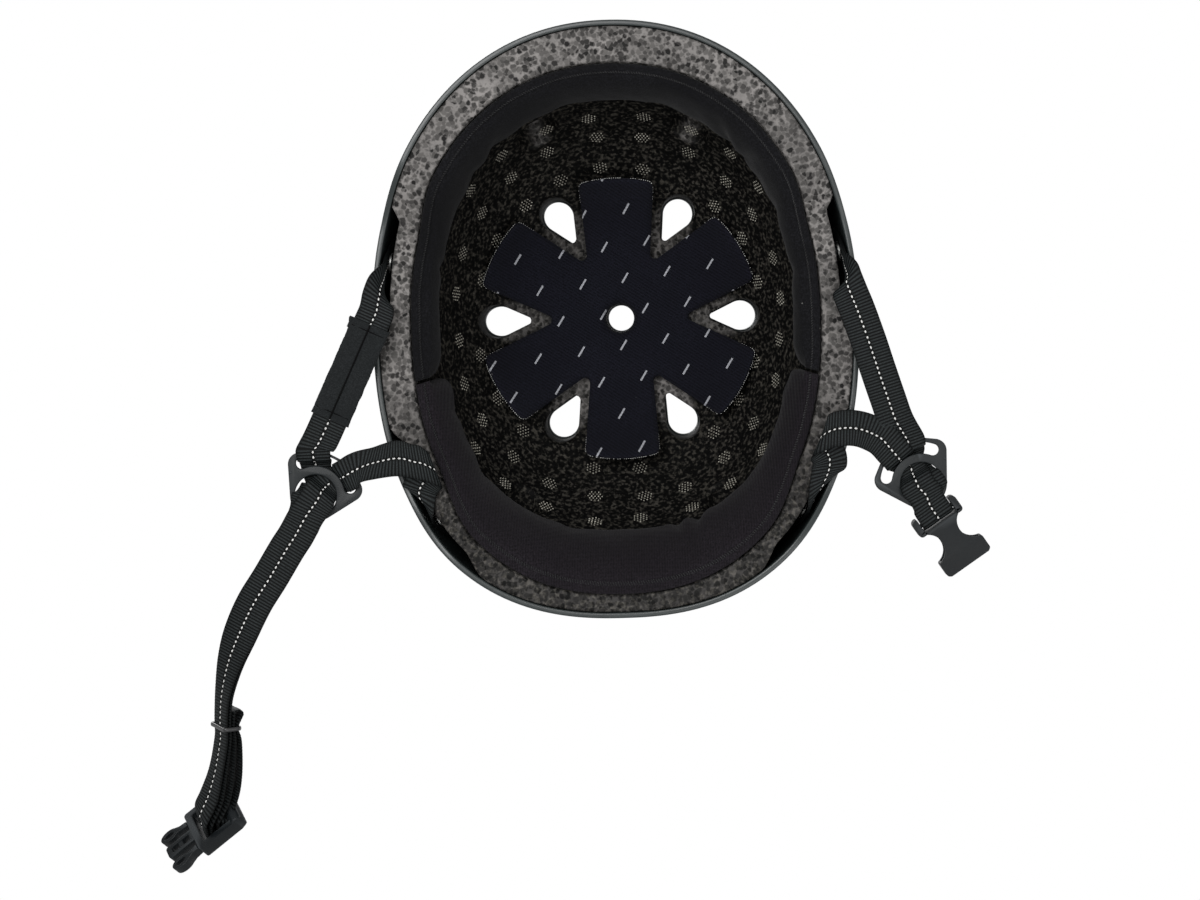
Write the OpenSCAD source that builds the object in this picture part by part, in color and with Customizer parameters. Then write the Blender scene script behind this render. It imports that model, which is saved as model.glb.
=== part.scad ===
/* [Shell] */
// Half the shell's width at its rim
shell_half_w = 109; // [104:1:116]
// Half the shell's length at its rim
shell_half_l = 133; // [128:1:140]
// Height of the crown above the rim
shell_h = 150; // [144:1:158]
// Wall of the hard shell
shell_wall = 2.4; // [2:0.1:3]
// How far the rim rises over each ear
ear_rise = 11; // [10:0.5:13]
// How square the brow half of the outline is
front_n = 2.14; // [2:0.02:2.3]
// How square the nape half of the outline is
rear_n = 2.4; // [2.2:0.02:2.6]
// How square the shell is from the side
shell_n = 2.3; // [2.1:0.05:2.5]

/* [Foam liner] */
// Gap between the shell and the liner
liner_gap = 0.3; // [0.3:0.05:0.6]
// How far the liner's rim is set back inside the shell's edge
liner_recess = 1.2; // [0.8:0.1:2]
// Thickness of foam at the brow, above the rim
foam_front = 19.6; // [17:0.2:21]
// Thickness of foam at the sides, above the rim
foam_side = 14.6; // [13:0.2:16]
// Thickness of foam at the nape, above the rim
foam_rear = 19.6; // [17:0.2:21]
// Thickness of foam under the crown
foam_crown = 22.6; // [20:0.2:25]
// How much the brow edge of the bowl opens out at the rim
flare_front = 4; // [2:0.5:5]
// How much the side edges of the bowl open out at the rim
flare_side = 3.5; // [2:0.5:4]
// How much the nape edge of the bowl opens out at the rim
flare_rear = 13.8; // [11:0.2:14]
// Height up to which the bowl's edge opens out
flare_top = 34; // [28:1:40]
// Depth of the pockets that the straps' anchors sit in
pocket_depth = 5.4; // [5.2:0.1:5.8]
// How high the anchor pockets reach
pocket_top = 44; // [40:1:50]

/* [Vents] */
// Number of drop-shaped vents round the crown
vent_count = 6; // [4:1:8]
// Radius of a crown vent's round outer end
vent_r = 7.4; // [6:0.2:8]
// Distance of that round end from the centre of the crown
vent_at = 60.5; // [58:0.5:63]
// Length from the round end's centre to the point
vent_run = 13.5; // [11:0.5:15]
// Radius of the vent at the centre of the crown
centre_vent_r = 6.5; // [5:0.5:8]
// Radius of the round vents at the brow and nape
round_vent_r = 9; // [8:0.5:10]
// How much wider each vent is through the foam
foam_vent_extra = 0.9; // [0.6:0.1:1.2]
// Angle of the brow vents from the front
brow_vent_a = 22; // [19:1:24]
// Angle of the nape vents from the back
nape_vent_a = 29; // [26:1:31]
// Height of the brow and nape vents above the rim
round_vent_z = 68; // [64:1:72]
// How steeply the brow and nape vents rise
round_vent_tilt = 18; // [10:1:24]

/* [Pads] */
// Gap between a pad and the foam
pad_gap = 0.6; // [0.5:0.05:0.8]
// Thickness of the brow and nape pads
pad_t = 9.4; // [8:0.2:10]
// Height of the brow pad
front_pad_h = 36; // [32:1:40]
// Height of the nape pad
rear_pad_h = 50; // [46:1:54]
// Angle from the front at which the brow pad ends
front_pad_a = 106; // [104:0.5:107]
// Gap between the ends of the brow and nape pads
pad_end_gap = 1.6; // [1.2:0.2:3]
// Width of the sewn lip round the pads' lower edge
pad_lip = 3.5; // [2.5:0.5:4]
// Thickness of the crown pad
crown_pad_t = 5; // [4:0.2:6]
// Radius of the crown pad to its petals' ends
crown_pad_r = 68.5; // [66:0.5:70]
// Half the width of a petal at its root
petal_half_w = 15.6; // [14:0.2:16]
// How much wider a petal is at its end
petal_flare = 3.2; // [2:0.2:4]
// Diameter of a hook-and-loop dot
dot_d = 18; // [14:1:20]
// Thickness of a hook-and-loop dot
dot_t = 1.2; // [1:0.1:1.5]

/* [Webbing] */
// Width of the webbing
web_w = 16; // [15:0.2:16.4]
// Thickness of the webbing
web_t = 1.3; // [1.1:0.05:1.4]
// Gap between two layers of webbing
layer_gap = 0.3; // [0.25:0.05:0.35]
// Width of the webbing where it is squeezed through a divider
web_squeezed_w = 13.6; // [13:0.1:13.8]

/* [Strap anchors] */
// Place of the front anchors along the helmet
front_anchor_y = -29; // [-31:0.5:-27]
// Place of the rear anchors along the helmet
rear_anchor_y = 92; // [90:0.5:94]
// Height of the anchors above the rim's lowest line
anchor_z = 25; // [23:0.5:27]
// Gap between a strap and the inside of the shell at its anchor
anchor_gap = 1; // [0.95:0.05:1.1]
// Radius of a rivet's shank
rivet_r = 1.9; // [1.5:0.1:2.2]
// Radius of a rivet's head
rivet_head_r = 4.6; // [4:0.2:5.2]
// Height of a rivet's head
rivet_head_h = 1.8; // [1.4:0.1:2.2]
// Thickness of the washer behind each strap
washer_t = 0.8; // [0.6:0.1:1]
// Radial gap round a rivet's shank
rivet_gap = 0.15; // [0.1:0.05:0.25]

/* [Strap dividers] */
// Radius of the ring's hole
ring_r = 9.4; // [9:0.1:9.6]
// Width of plastic round the ring's open side
ring_edge = 2; // [1.8:0.1:2.1]
// Middle radius of the curved slot
slot_r = 15.75; // [15.7:0.05:15.8]
// Width of the curved slot
slot_w = 5.1; // [5:0.05:5.3]
// Half the angle that the slot covers
slot_a = 54; // [52:0.5:56]
// Radius of the plate's corners
divider_corner_r = 5.2; // [5:0.1:5.6]
// Thickness of a divider
divider_t = 1.8; // [1.5:0.1:1.9]
// Height of a divider above the surface that the straps lie on
divider_z = 3.4; // [3.4:0.05:3.6]

/* [Strap sleeve] */
// Length of the sleeve
sleeve_l = 46; // [42:1:47]
// Gap between the sleeve and the webbing
sleeve_gap = 0.35; // [0.35:0.05:0.4]
// Wall of the sleeve
sleeve_wall = 0.5; // [0.4:0.05:0.6]

/* [Keeper] */
// Width of the keeper band along the strap
keeper_w = 3; // [2:0.5:4]
// Wall of the keeper band
keeper_wall = 0.9; // [0.7:0.1:1.1]
// Gap between the keeper band and the webbing
keeper_gap = 0.5; // [0.5:0.05:0.7]

/* [Buckle] */
// Radius of the bars that the webbing goes round
bar_r = 1; // [0.9:0.05:1]
// Gap between a bar and the webbing round it
bar_gap = 0.4; // [0.4:0.05:0.45]
// Gap between the webbing's edges and a buckle's sides
side_gap = 0.5; // [0.45:0.05:0.6]
// Width of each side rail of a buckle
rail_w = 3; // [2.6:0.1:3.2]
// Distance from the socket's bar to its mouth
socket_l = 25.8; // [25:0.1:27]
// Length of the ears behind the socket's bar
ear_l = 3.9; // [3.5:0.1:4]
// Thickness of the socket
socket_t = 7; // [6.8:0.1:7.4]
// Wall of the socket over its hollow
socket_wall = 1.1; // [1:0.05:1.2]
// Radius of the scoops in the socket's sides
scoop_r = 7.4; // [7:0.1:7.6]
// Half the width that is left between the scoops
waist = 4.8; // [4.4:0.1:5.2]
// Thickness of the plug's frame
frame_t = 5; // [4.6:0.1:5]
// Thickness of the plug's arms and guide
arm_t = 4; // [3.6:0.1:4.2]
// Length of the plug's guide
guide_l = 15; // [14:0.5:16]
// Gap between an arm's root and the frame
arm_gap = 0.5; // [0.5:0.05:0.6]

/* [Hidden] */

// Steps round the shell, and rings from its rim to its crown
around = 72;
rings = 13;
// How much the shell swells above its rim, as a share, and up to what height
belly = 0.012;
belly_top = 78;

function flat(l) = [for (a = l) each a];
function unit(v) = v / norm(v);
function smooth(t) = let (u = max(0, min(1, t))) u * u * (3 - 2 * u);
function power_root(v, n) = pow(max(0, v), 1 / n);

// Outline of the helmet seen from above, as a radius at each angle, front at 270 degrees
function outline_n(a) = sin(a) < 0 ? front_n : rear_n;
function outline(a, half_w, half_l) = let (n = outline_n(a))
    pow(pow(abs(cos(a)) / half_w, n) + pow(abs(sin(a)) / half_l, n), -1 / n);

// Share of the outline that is left at a height
function share(z, h, n) = power_root(1 - pow(max(0, min(z, h)) / h, n), n);
function swell(z) = 1 + belly * sin(180 * max(0, min(1, z / belly_top)));

// Height of the rim, raised over the ears
function rim_z(a) = let (y = sin(a) * outline(a, shell_half_w, shell_half_l))
    ear_rise * smooth((y + 76) / 34) * smooth((108 - y) / 34);

// Half width of the shell at a place along it and a height, inset by the wall
function shell_x(y, z, inset) = let (
    k = share(z, shell_h - inset, shell_n) * swell(z),
    n = y < 0 ? front_n : rear_n)
    (shell_half_w - inset) * k * power_root(1 - pow(abs(y) / ((shell_half_l - inset) * k), n), n);

// Direction that the shell's side faces there, as an angle from the helmet's side
function shell_turn(y, z) = atan2(shell_x(y - 1, z, 0) - shell_x(y + 1, z, 0), 2);
function shell_tilt(y, z) = atan2(shell_x(y, z - 1, 0) - shell_x(y, z + 1, 0), 2);

// Rings of points of a dome, with the crown last
function dome(half_w, half_l, h, n, rim, cut) = concat(
    [for (j = [0 : rings - 1], i = [0 : around - 1])
        let (
            a = 360 * i / around,
            low = rim_z(a) + rim,
            z = low + (h - low) * pow(sin(90 * j / rings), 2 / n),
            r = outline(a, half_w, half_l) * share(z, h, n) * swell(z) - pocket(a, z) * cut)
        [r * cos(a), r * sin(a), z]],
    [[0, 0, h]]);

// The pockets for the anchors, one ahead of and one behind each ear
function pocket(a, z) = let (
    side = abs(((a + 270) % 360) - 180),
    front = smooth((side - 52) / 8) * smooth((97 - side) / 7),
    rear = smooth((side - 114) / 6) * smooth((152 - side) / 7))
    (pocket_depth - liner_gap) * max(front, rear) * smooth((pocket_top - z) / 8);

// The inside of the foam bowl
function bowl_flare(a) = sin(a) < 0
    ? flare_side + (flare_front - flare_side) * pow(sin(a), 2)
    : flare_side + (flare_rear - flare_side) * pow(sin(a), 4);
function bowl_r(a, z) = let (
    k = share(z, shell_h - foam_crown - shell_wall, 2.2),
    half_w = shell_half_w - shell_wall - foam_side,
    half_l = shell_half_l - shell_wall - (sin(a) < 0 ? foam_front : foam_rear))
    outline(a, half_w, half_l) * k + bowl_flare(a) * pow(max(0, 1 - z / flare_top), 2);
function bowl_h() = shell_h - foam_crown - shell_wall;
function bowl_point(a, z, inset) = [(bowl_r(a, z) - inset) * cos(a), (bowl_r(a, z) - inset) * sin(a), z];
function bowl() = concat(
    [for (j = [0 : rings - 1], i = [0 : around - 1])
        let (
            a = 360 * i / around,
            low = rim_z(a) + liner_recess,
            z = low + (bowl_h() - low) * pow(sin(90 * j / rings), 2 / 2.2))
        bowl_point(a, z, 0)],
    [[0, 0, bowl_h()]]);

// Closed solid between two such sets of points
module dome_solid(outer, inner) {
    last = around * rings;
    shift = last + 1;
    polyhedron(concat(outer, inner), concat(
        [for (j = [0 : rings - 2], i = [0 : around - 1])
            let (a = j * around + i, b = j * around + (i + 1) % around)
            each [[a, a + around, b + around], [a, b + around, b],
                [shift + a, shift + b + around, shift + a + around],
                [shift + a, shift + b, shift + b + around]]],
        [for (i = [0 : around - 1])
            let (a = last - around + i, b = last - around + (i + 1) % around)
            each [[a, last, b], [shift + a, shift + b, shift + last]]],
        [for (i = [0 : around - 1])
            let (b = (i + 1) % around)
            each [[i, b, shift + b], [i, shift + b, shift + i]]]));
}

// Closed solid through sections of equally many points, each wound the same way
module skin(sections) {
    m = len(sections[0]);
    n = len(sections);
    polyhedron(flat(sections), concat(
        [[for (k = [0 : m - 1]) k]],
        [[for (k = [m - 1 : -1 : 0]) (n - 1) * m + k]],
        [for (s = [0 : n - 2], k = [0 : m - 1])
            let (a = s * m + k, b = s * m + (k + 1) % m)
            each [[b, a, a + m], [b, a + m, b + m]]]));
}

// Smooth curve through rows of numbers, at place s along them
function curve_row(rows, s) = let (
    n = len(rows),
    i = min(n - 2, floor(s)),
    t = s - i,
    p1 = rows[i],
    p2 = rows[i + 1],
    p0 = i > 0 ? rows[i - 1] : 2 * p1 - p2,
    p3 = i < n - 2 ? rows[i + 2] : 2 * p2 - p1)
    p1 + 0.5 * t * ((p2 - p0) + t * ((2 * p0 - 5 * p1 + 4 * p2 - p3) + t * (3 * p1 - p0 - 3 * p2 + p3)));
function along(rows, steps) = [for (k = [0 : (len(rows) - 1) * steps]) curve_row(rows, k / steps)];
function head(row) = [row[0], row[1], row[2]];
function heading(list, k) = unit(head(list[min(len(list) - 1, k + 1)]) - head(list[max(0, k - 1)]));

// Frames along rows of x, y, z, the direction across, the width and the lift:
// each is a centre, half the width, the direction across, and the direction along
function frames(rows, steps) = let (list = along(rows, steps))
    [for (k = [0 : len(list) - 1])
        let (
            t = heading(list, k),
            w = unit([list[k][3], list[k][4], list[k][5]]),
            u = unit(cross(w, t)))
        [head(list[k]) + u * list[k][7], list[k][6] / 2, w, t]];
function back(fr) = [for (k = [len(fr) - 1 : -1 : 0]) [fr[k][0], fr[k][1], fr[k][2], -fr[k][3]]];
function lifted(rows, lifts) = [for (k = [0 : len(rows) - 1])
    [for (i = [0 : 6]) rows[k][i], len(lifts) > 0 ? lifts[min(k, len(lifts) - 1)] : lifts]];
function raised(rows, lift) = [for (r = rows) [for (i = [0 : 6]) r[i], lift]];

// Half a turn of webbing round a centre, from one side to the other, past the forward direction
function turn(c, side, forward, w, half_w, r, steps) =
    [for (k = [1 : steps - 1])
        let (a = 180 * k / steps)
        [c + side * r * cos(a) + forward * r * sin(a), half_w, w, forward * cos(a) - side * sin(a)]];

// Cross-section of webbing, some way ahead of a frame, as far below and above its middle as low and high say
function section(f, ahead, low, high) = let (
    hw = f[2] * f[1],
    c = f[0] + f[3] * ahead,
    n = unit(cross(f[2], f[3])))
    [c - hw + n * high, c + hw + n * high, c + hw - n * low, c - hw - n * low];

// Round end of radius r where a strap meets its hinge, side being its distance off the layers' middle
end_turns = [25, 45, 62, 78];
function round_end(f, r, side, turns, way) = [for (a = turns)
    let (cut = r * cos(a) - abs(side), half = web_t / 2)
    section(f, way * r * sin(a), side > 0 ? half : cut, side < 0 ? half : cut)];

// A run of webbing, with a round end at its last frame, at its first frame or at neither
module webbing(fr, last_r = 0, side = 0, first_r = 0) {
    skin(concat(
        first_r > 0 ? round_end(fr[0], first_r, 0, [for (k = [3 : -1 : 0]) end_turns[k]], -1) : [],
        [for (f = fr) section(f, 0, web_t / 2, web_t / 2)],
        last_r > 0 ? round_end(fr[len(fr) - 1], last_r, side, end_turns, 1) : []));
}

// Rows for flat webbing, by its heading seen from above
function flat_row(x, y, z, h, w) = [x, y, z, sin(h), -cos(h), 0, w, 0];

// Rows near a divider: distance from the ring towards the slot, distance across, height and turn
function ring_row(ring, a, p) = let (
    x = ring[0] + p[0] * cos(a) - p[1] * sin(a),
    y = ring[1] + p[0] * sin(a) + p[1] * cos(a))
    flat_row(x, y, p[2], a + 180 + p[3], p[4]);
function ring_rows(ring, a, list) = [for (p = list) ring_row(ring, a, p)];

// Places beside which the harness lies, each measured from the shell's side
web_z = 1;
layer = web_t + layer_gap;
over = divider_z + divider_t + layer_gap + web_t / 2 + 0.1;
q = web_squeezed_w;
right_ring = [-26.7, 75.3];
left_ring = [25.6, 76.8];
right_turn = -61.5;
left_turn = -120;
hinge_gap = 1.4;

module sided(side) {
    translate([side * shell_half_w, 0, 0]) children();
}

// Shell and foam
vent_tip_r = 1.5;
round_steps = 27;
tip_steps = 7;
function arc(x, r, from, to, steps) = [for (i = [0 : steps])
    let (a = from + (to - from) * i / steps)
    [x + r * cos(a), r * sin(a)]];

// Drop with its round end at the origin and its point towards -x
module vent_outline(extra) {
    r = vent_r + extra;
    tip = vent_tip_r + extra;
    b = 180 - acos((r - tip) / vent_run);
    polygon(concat(arc(0, r, -b, b, round_steps), arc(-vent_run, tip, b, 360 - b, tip_steps)));
}

module vent_cuts(extra) {
    for (k = [0 : vent_count - 1])
        rotate(360 * k / vent_count)
            translate([vent_at, 0, bowl_h() / 2])
                linear_extrude(shell_h) vent_outline(extra);
    translate([0, 0, bowl_h() / 2]) cylinder(h = shell_h, r = centre_vent_r + extra, $fn = 48);
    for (a = [270 - brow_vent_a, 270 + brow_vent_a, 90 - nape_vent_a, 90 + nape_vent_a])
        rotate(a)
            translate([0, 0, round_vent_z - 105 * tan(round_vent_tilt)])
                rotate([0, 90 - round_vent_tilt, 0])
                    translate([0, 0, 70]) cylinder(h = 100, r = round_vent_r + extra, $fn = 48);
}

// Places a child on the shell at an anchor, with its z axis pointing out of the shell
module at_anchor(side, y) {
    translate([side * shell_x(y, anchor_z, 0), y, anchor_z])
        rotate(side > 0 ? shell_turn(y, anchor_z) : 180 - shell_turn(y, anchor_z))
            rotate([0, 90 - shell_tilt(y, anchor_z), 0]) children();
}

module at_anchors() {
    for (side = [-1, 1], y = [front_anchor_y, rear_anchor_y])
        at_anchor(side, y) children();
}

seat_depth = 0.5;

module shell() {
    color([0.16, 0.18, 0.18]) difference() {
        dome_solid(dome(shell_half_w, shell_half_l, shell_h, shell_n, 0, 0),
            dome(shell_half_w - shell_wall, shell_half_l - shell_wall, shell_h - shell_wall, shell_n, 0, 0));
        vent_cuts(0);
        at_anchors() {
            translate([0, 0, -10]) cylinder(h = 20, r = rivet_r + rivet_gap, $fn = 32);
            translate([0, 0, -seat_depth]) cylinder(h = 5, r = rivet_head_r + 0.4, $fn = 48);
        }
    }
}

dot_places = [[270, 20], [228, 20], [312, 20], [196, 20], [344, 20], [90, 30], [52, 30], [128, 30],
    [90, 101], [210, 101], [330, 101]];

// Places a child on the inside of the bowl, with its z axis pointing into the foam
module on_bowl(place) {
    a = place[0];
    z = place[1];
    slope = atan2(bowl_r(a, z - 1) - bowl_r(a, z + 1), 2);
    translate(bowl_point(a, z, 0)) rotate(a) rotate([0, 90 - slope, 0]) children();
}

// Depth of a dot below the foam's surface, and the gap round it
dot_sink = 1;
dot_gap = 0.2;

module liner() {
    inset = shell_wall + liner_gap;
    color([0.33, 0.32, 0.31]) difference() {
        dome_solid(
            dome(shell_half_w - inset, shell_half_l - inset, shell_h - inset, shell_n, liner_recess, 1),
            bowl());
        vent_cuts(foam_vent_extra);
        for (p = dot_places)
            on_bowl(p) translate([0, 0, -6])
                cylinder(h = 6 + dot_sink + dot_t + dot_gap, r = dot_d / 2 + dot_gap, $fn = 48);
    }
}

module hook_dots() {
    color([0.06, 0.06, 0.07])
        for (p = dot_places)
            on_bowl(p) translate([0, 0, dot_sink]) cylinder(h = dot_t, r = dot_d / 2, $fn = 48);
}

// Pads
// Section of a pad at one angle: a thin sewn lip below, a full roll of foam above
function pad_section(a, top, t, swell_at) = let (
    low = rim_z(a) + liner_recess + 0.8,
    rise = top - low,
    g = pad_gap,
    lip = pad_lip + g)
    [for (p = [[low, g], [low, lip], [low + 1.6, lip + 0.3], [low + 2.6, lip + 1.6],
            [low + 0.20 * rise, g + t * 0.86 * swell_at], [low + 0.42 * rise, g + t * swell_at],
            [low + 0.64 * rise, g + t * 0.97 * swell_at], [low + 0.85 * rise, g + t * 0.78],
            [low + 0.96 * rise, g + t * 0.44], [top, g + 0.8], [top - 0.8, g],
            [low + 0.6 * rise, g], [low + 0.3 * rise, g]])
        bowl_point(a, p[0], p[1])];

function pad_end(u) = 0.35 + 0.65 * sqrt(max(0, 1 - pow(1 - min(1, u), 2)));

module pad_band(middle, half_a, top, t, steps, channels) {
    skin([for (k = [0 : steps])
        let (
            u = k / steps,
            a = middle + half_a * (2 * u - 1),
            ends = pad_end(min(u, 1 - u) * steps / 2.5),
            low = rim_z(a) + liner_recess + 0.8,
            roll = 1 - 0.05 * pow(cos(180 * channels * u), 2))
        pad_section(a, low + (top - low) * (0.8 + 0.2 * ends), t * ends, roll)]);
}

module front_pad() {
    color([0.05, 0.05, 0.06]) pad_band(270, front_pad_a, front_pad_h, pad_t, 66, 7);
}

module rear_pad() {
    half = 180 - front_pad_a - pad_end_gap / shell_half_w * 60;
    color([0.08, 0.07, 0.08]) pad_band(90, half, rear_pad_h, pad_t, 52, 2);
}

module petals() {
    end = crown_pad_r + 2;
    for (k = [0 : vent_count - 1])
        rotate(360 * (k + 0.5) / vent_count)
            intersection() {
                circle(crown_pad_r, $fn = 96);
                polygon([[0, -petal_half_w], [30, -petal_half_w], [end, -petal_half_w - petal_flare],
                    [end, petal_half_w + petal_flare], [30, petal_half_w], [0, petal_half_w]]);
            }
}

crown_steps = 48;
crown_rings = 8;
function crown_point(i, j, inset) = let (
    a = 360 * i / crown_steps,
    r = (crown_pad_r + 4) * j / crown_rings,
    wide = bowl_r(a, 0) - bowl_flare(a),
    z = bowl_h() * power_root(1 - pow(r / wide, 2.2), 2.2))
    [r * cos(a), r * sin(a), z - inset];

module crown_slab() {
    top = [for (j = [1 : crown_rings], i = [0 : crown_steps - 1]) crown_point(i, j, pad_gap)];
    under = [for (j = [1 : crown_rings], i = [0 : crown_steps - 1]) crown_point(i, j, pad_gap + crown_pad_t)];
    n = crown_steps;
    last = n * crown_rings;
    middle = [crown_point(0, 0, pad_gap), crown_point(0, 0, pad_gap + crown_pad_t)];
    polyhedron(concat(top, under, middle), concat(
        [for (j = [0 : crown_rings - 2], i = [0 : n - 1])
            let (a = j * n + i, b = j * n + (i + 1) % n)
            each [[a, b, b + n], [a, b + n, a + n], [last + a, last + b + n, last + b],
                [last + a, last + a + n, last + b + n]]],
        [for (i = [0 : n - 1])
            let (b = (i + 1) % n)
            each [[i, 2 * last, b], [last + i, last + b, 2 * last + 1]]],
        [for (i = [0 : n - 1])
            let (a = last - n + i, b = last - n + (i + 1) % n)
            each [[a, b, last + b], [a, last + b, last + a]]]));
}

module crown_pad() {
    color([0.04, 0.05, 0.07]) difference() {
        intersection() {
            crown_slab();
            translate([0, 0, bowl_h() / 2]) linear_extrude(shell_h) petals();
        }
        cylinder(h = shell_h, r = centre_vent_r + 0.6, $fn = 48);
    }
}

// Anchors
module rivets() {
    grip = shell_wall + anchor_gap + web_t + washer_t + 0.8;
    dome_r = (pow(rivet_head_r, 2) + pow(rivet_head_h, 2)) / (2 * rivet_head_h);
    color([0.12, 0.13, 0.13]) at_anchors() translate([0, 0, -seat_depth]) {
        intersection() {
            cylinder(h = rivet_head_h, r = rivet_head_r, $fn = 48);
            translate([0, 0, rivet_head_h - dome_r]) sphere(dome_r, $fn = 64);
        }
        translate([0, 0, seat_depth - grip]) cylinder(h = grip - seat_depth + 0.5, r = rivet_r, $fn = 32);
        translate([0, 0, seat_depth - grip - 0.7]) cylinder(h = 0.7, r = rivet_r + 0.9, $fn = 32);
    }
}

module washers() {
    color([0.55, 0.56, 0.56]) at_anchors()
        translate([0, 0, -shell_wall - anchor_gap - web_t - washer_t - 0.5]) difference() {
            cylinder(h = washer_t, r = rivet_head_r, $fn = 48);
            translate([0, 0, -1]) cylinder(h = washer_t + 2, r = rivet_r + rivet_gap, $fn = 32);
        }
}

module rivet_hole(side, y) {
    at_anchor(side, y) translate([0, 0, -15]) cylinder(h = 20, r = rivet_r + rivet_gap, $fn = 32);
}

// Roots of the straps, from the anchor down through the gap and out under the rim
root_in = shell_wall + anchor_gap + web_t / 2;
function on_shell(side, y, z, lean, extra) = let (
    turn_a = shell_turn(y, z),
    x = shell_x(y, z, 0),
    back_dir = [-side * sin(turn_a), cos(turn_a), 0],
    w = -side * (back_dir * cos(lean) + [0, 0, sin(lean)]),
    deep = root_in + extra)
    [side * (x - deep * cos(turn_a)), y - deep * sin(turn_a), z, w[0], w[1], w[2], web_w, 0];

// A front root and the start of the strap below it are one run of webbing, cut across
cut_z = 10;
cut_gap = 0.9;
front_lean = 28.5;
rear_lean = -32;
function front_lead(side) = [for (d = [[-8, 0.2], [0, 0], [8, 0.2], [15.5, 0.4]])
    on_shell(side, front_anchor_y + d[0] * 0.52, anchor_z - d[0] * 0.97, front_lean, d[1])];

function local_lead(side) = [for (r = front_lead(side)) r - [side * shell_half_w, 0, 0, 0, 0, 0, 0, 0]];

module right_front_root() {
    color([0.10, 0.11, 0.11]) difference() {
        sided(-1) webbing(frames(concat(local_lead(-1), [right_front_rows[0], right_front_rows[1]]), 3));
        translate([-shell_half_w, front_anchor_y, cut_z - 20]) cube([60, 80, 40], center = true);
        rivet_hole(-1, front_anchor_y);
    }
}

module left_front_root() {
    color([0.10, 0.11, 0.11]) difference() {
        sided(1) webbing(frames(concat(local_lead(1), [left_front_rows[0], left_front_rows[1]]), 3));
        translate([shell_half_w, front_anchor_y, cut_z - 20]) cube([60, 80, 40], center = true);
        rivet_hole(1, front_anchor_y);
    }
}

function rear_lead(side) = [for (d = [[-8, 0.5], [0, 0], [8, 0.6], [15.5, 2]])
    on_shell(side, rear_anchor_y - d[0] * 0.5, anchor_z - d[0] * 0.95, rear_lean, d[1])];

module right_rear_root() {
    e = -shell_half_w;
    color([0.10, 0.11, 0.11]) difference() {
        webbing(frames(concat(rear_lead(-1), [[e + 19.6, 78, 7.4, 0.78, 0.6, -0.2, web_w, 0],
            [e + 19.2, 74.8, 7.3, 0.94, 0.34, 0, web_w, 0], [e + 20.9, 71.5, 6.7, 0.85, 0.53, 0, web_w, 0],
            [e + 23.3, 68.7, 6, 0.7, 0.71, 0, web_w, 0], [e + 25.5, 66.9, 5.1, 0.5, 0.87, 0, web_w, 0],
            [e + 26.6, 65.6, 3.6, 0.35, 0.94, 0, web_w, 0], [e + 25.4, 64.2, 1.9, 0.25, 0.97, 0, web_w, 0],
            [e + 23.4, 62.9, 1.15, 0.2, 0.98, 0, web_w, 0], [e + 21.4, 61.9, web_z, 0.15, 0.99, 0, web_w, 0],
            [e + 17.8 + hinge_gap, 61.2, web_z, 0.135, 0.99, 0, web_w, 0]]), 3));
        rivet_hole(-1, rear_anchor_y);
    }
}

module left_rear_root() {
    e = shell_half_w;
    color([0.10, 0.11, 0.11]) difference() {
        webbing(frames(concat(rear_lead(1), [[e - 18.8, 77.5, 7.3, 0.75, -0.63, 0.2, web_w, 0],
            [e - 16.2, 72.5, 7, 0.96, -0.28, 0, web_w, 0], [e - 15, 68.5, 6.6, 0.99, -0.12, 0, web_w, 0],
            [e - 15, 64.5, 6.1, 0.93, -0.36, 0, web_w, 0], [e - 16.8, 61, 5.5, 0.8, -0.6, 0, web_w, 0],
            [e - 18.2, 58.3, 4.8, 0.62, -0.78, 0, web_w, 0], [e - 18.7, 56.4, 3.6, 0.45, -0.9, 0, web_w, 0],
            [e - 17.9, 54.6, 2.1, 0.3, -0.95, 0, web_w, 0], [e - 16.1, 53, 1.25, 0.1, -0.99, 0, web_w, 0],
            [e - 12.5 - hinge_gap, 51.7, web_z, 0.07, -1, 0, web_w, 0]]), 3));
        rivet_hole(1, rear_anchor_y);
    }
}

// Right harness
sleeve_z = web_t / 2 + sleeve_gap + sleeve_wall + 0.15;
sleeve_h = 115;
sleeve_top = [0.3, -0.3];
function sleeve_row(s, z) = flat_row(sleeve_top[0] + s * cos(sleeve_h), sleeve_top[1] + s * sin(sleeve_h), z,
    sleeve_h, web_w);

// Up through the slot, over the bar and down through the ring, as distance, across, height, turn, width
slot_up = [[20.5, 0, web_z, 0, (web_w + q) / 2], [16.6, 0, web_z + 0.1, 0, q], [14.9, 0, web_z + 0.8, 0, q],
    [14.15, 0, 3, 0, q], [14.1, 0, 4.8, 0, q], [13.7, 0, over - 0.45, 0, q], [12.6, 0, over, 0, q]];
function slid(list, offs, turns) = [for (k = [0 : len(list) - 1])
    [list[k][0], offs[k], list[k][2], turns[k], list[k][4]]];

right_front_rows = concat(
    [[4.2, -16.3, 4.6, 0.4, 0.83, 0.36, web_w, 0], [4.2, -13.4, 2.5, 0.7, 0.68, 0.16, web_w, 0],
        [3.7, -10, sleeve_z, 0.87, 0.48, 0, web_w, 0]],
    [for (place = [-6, 0, 24, sleeve_l + 6]) sleeve_row(place, sleeve_z)]);

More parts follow.
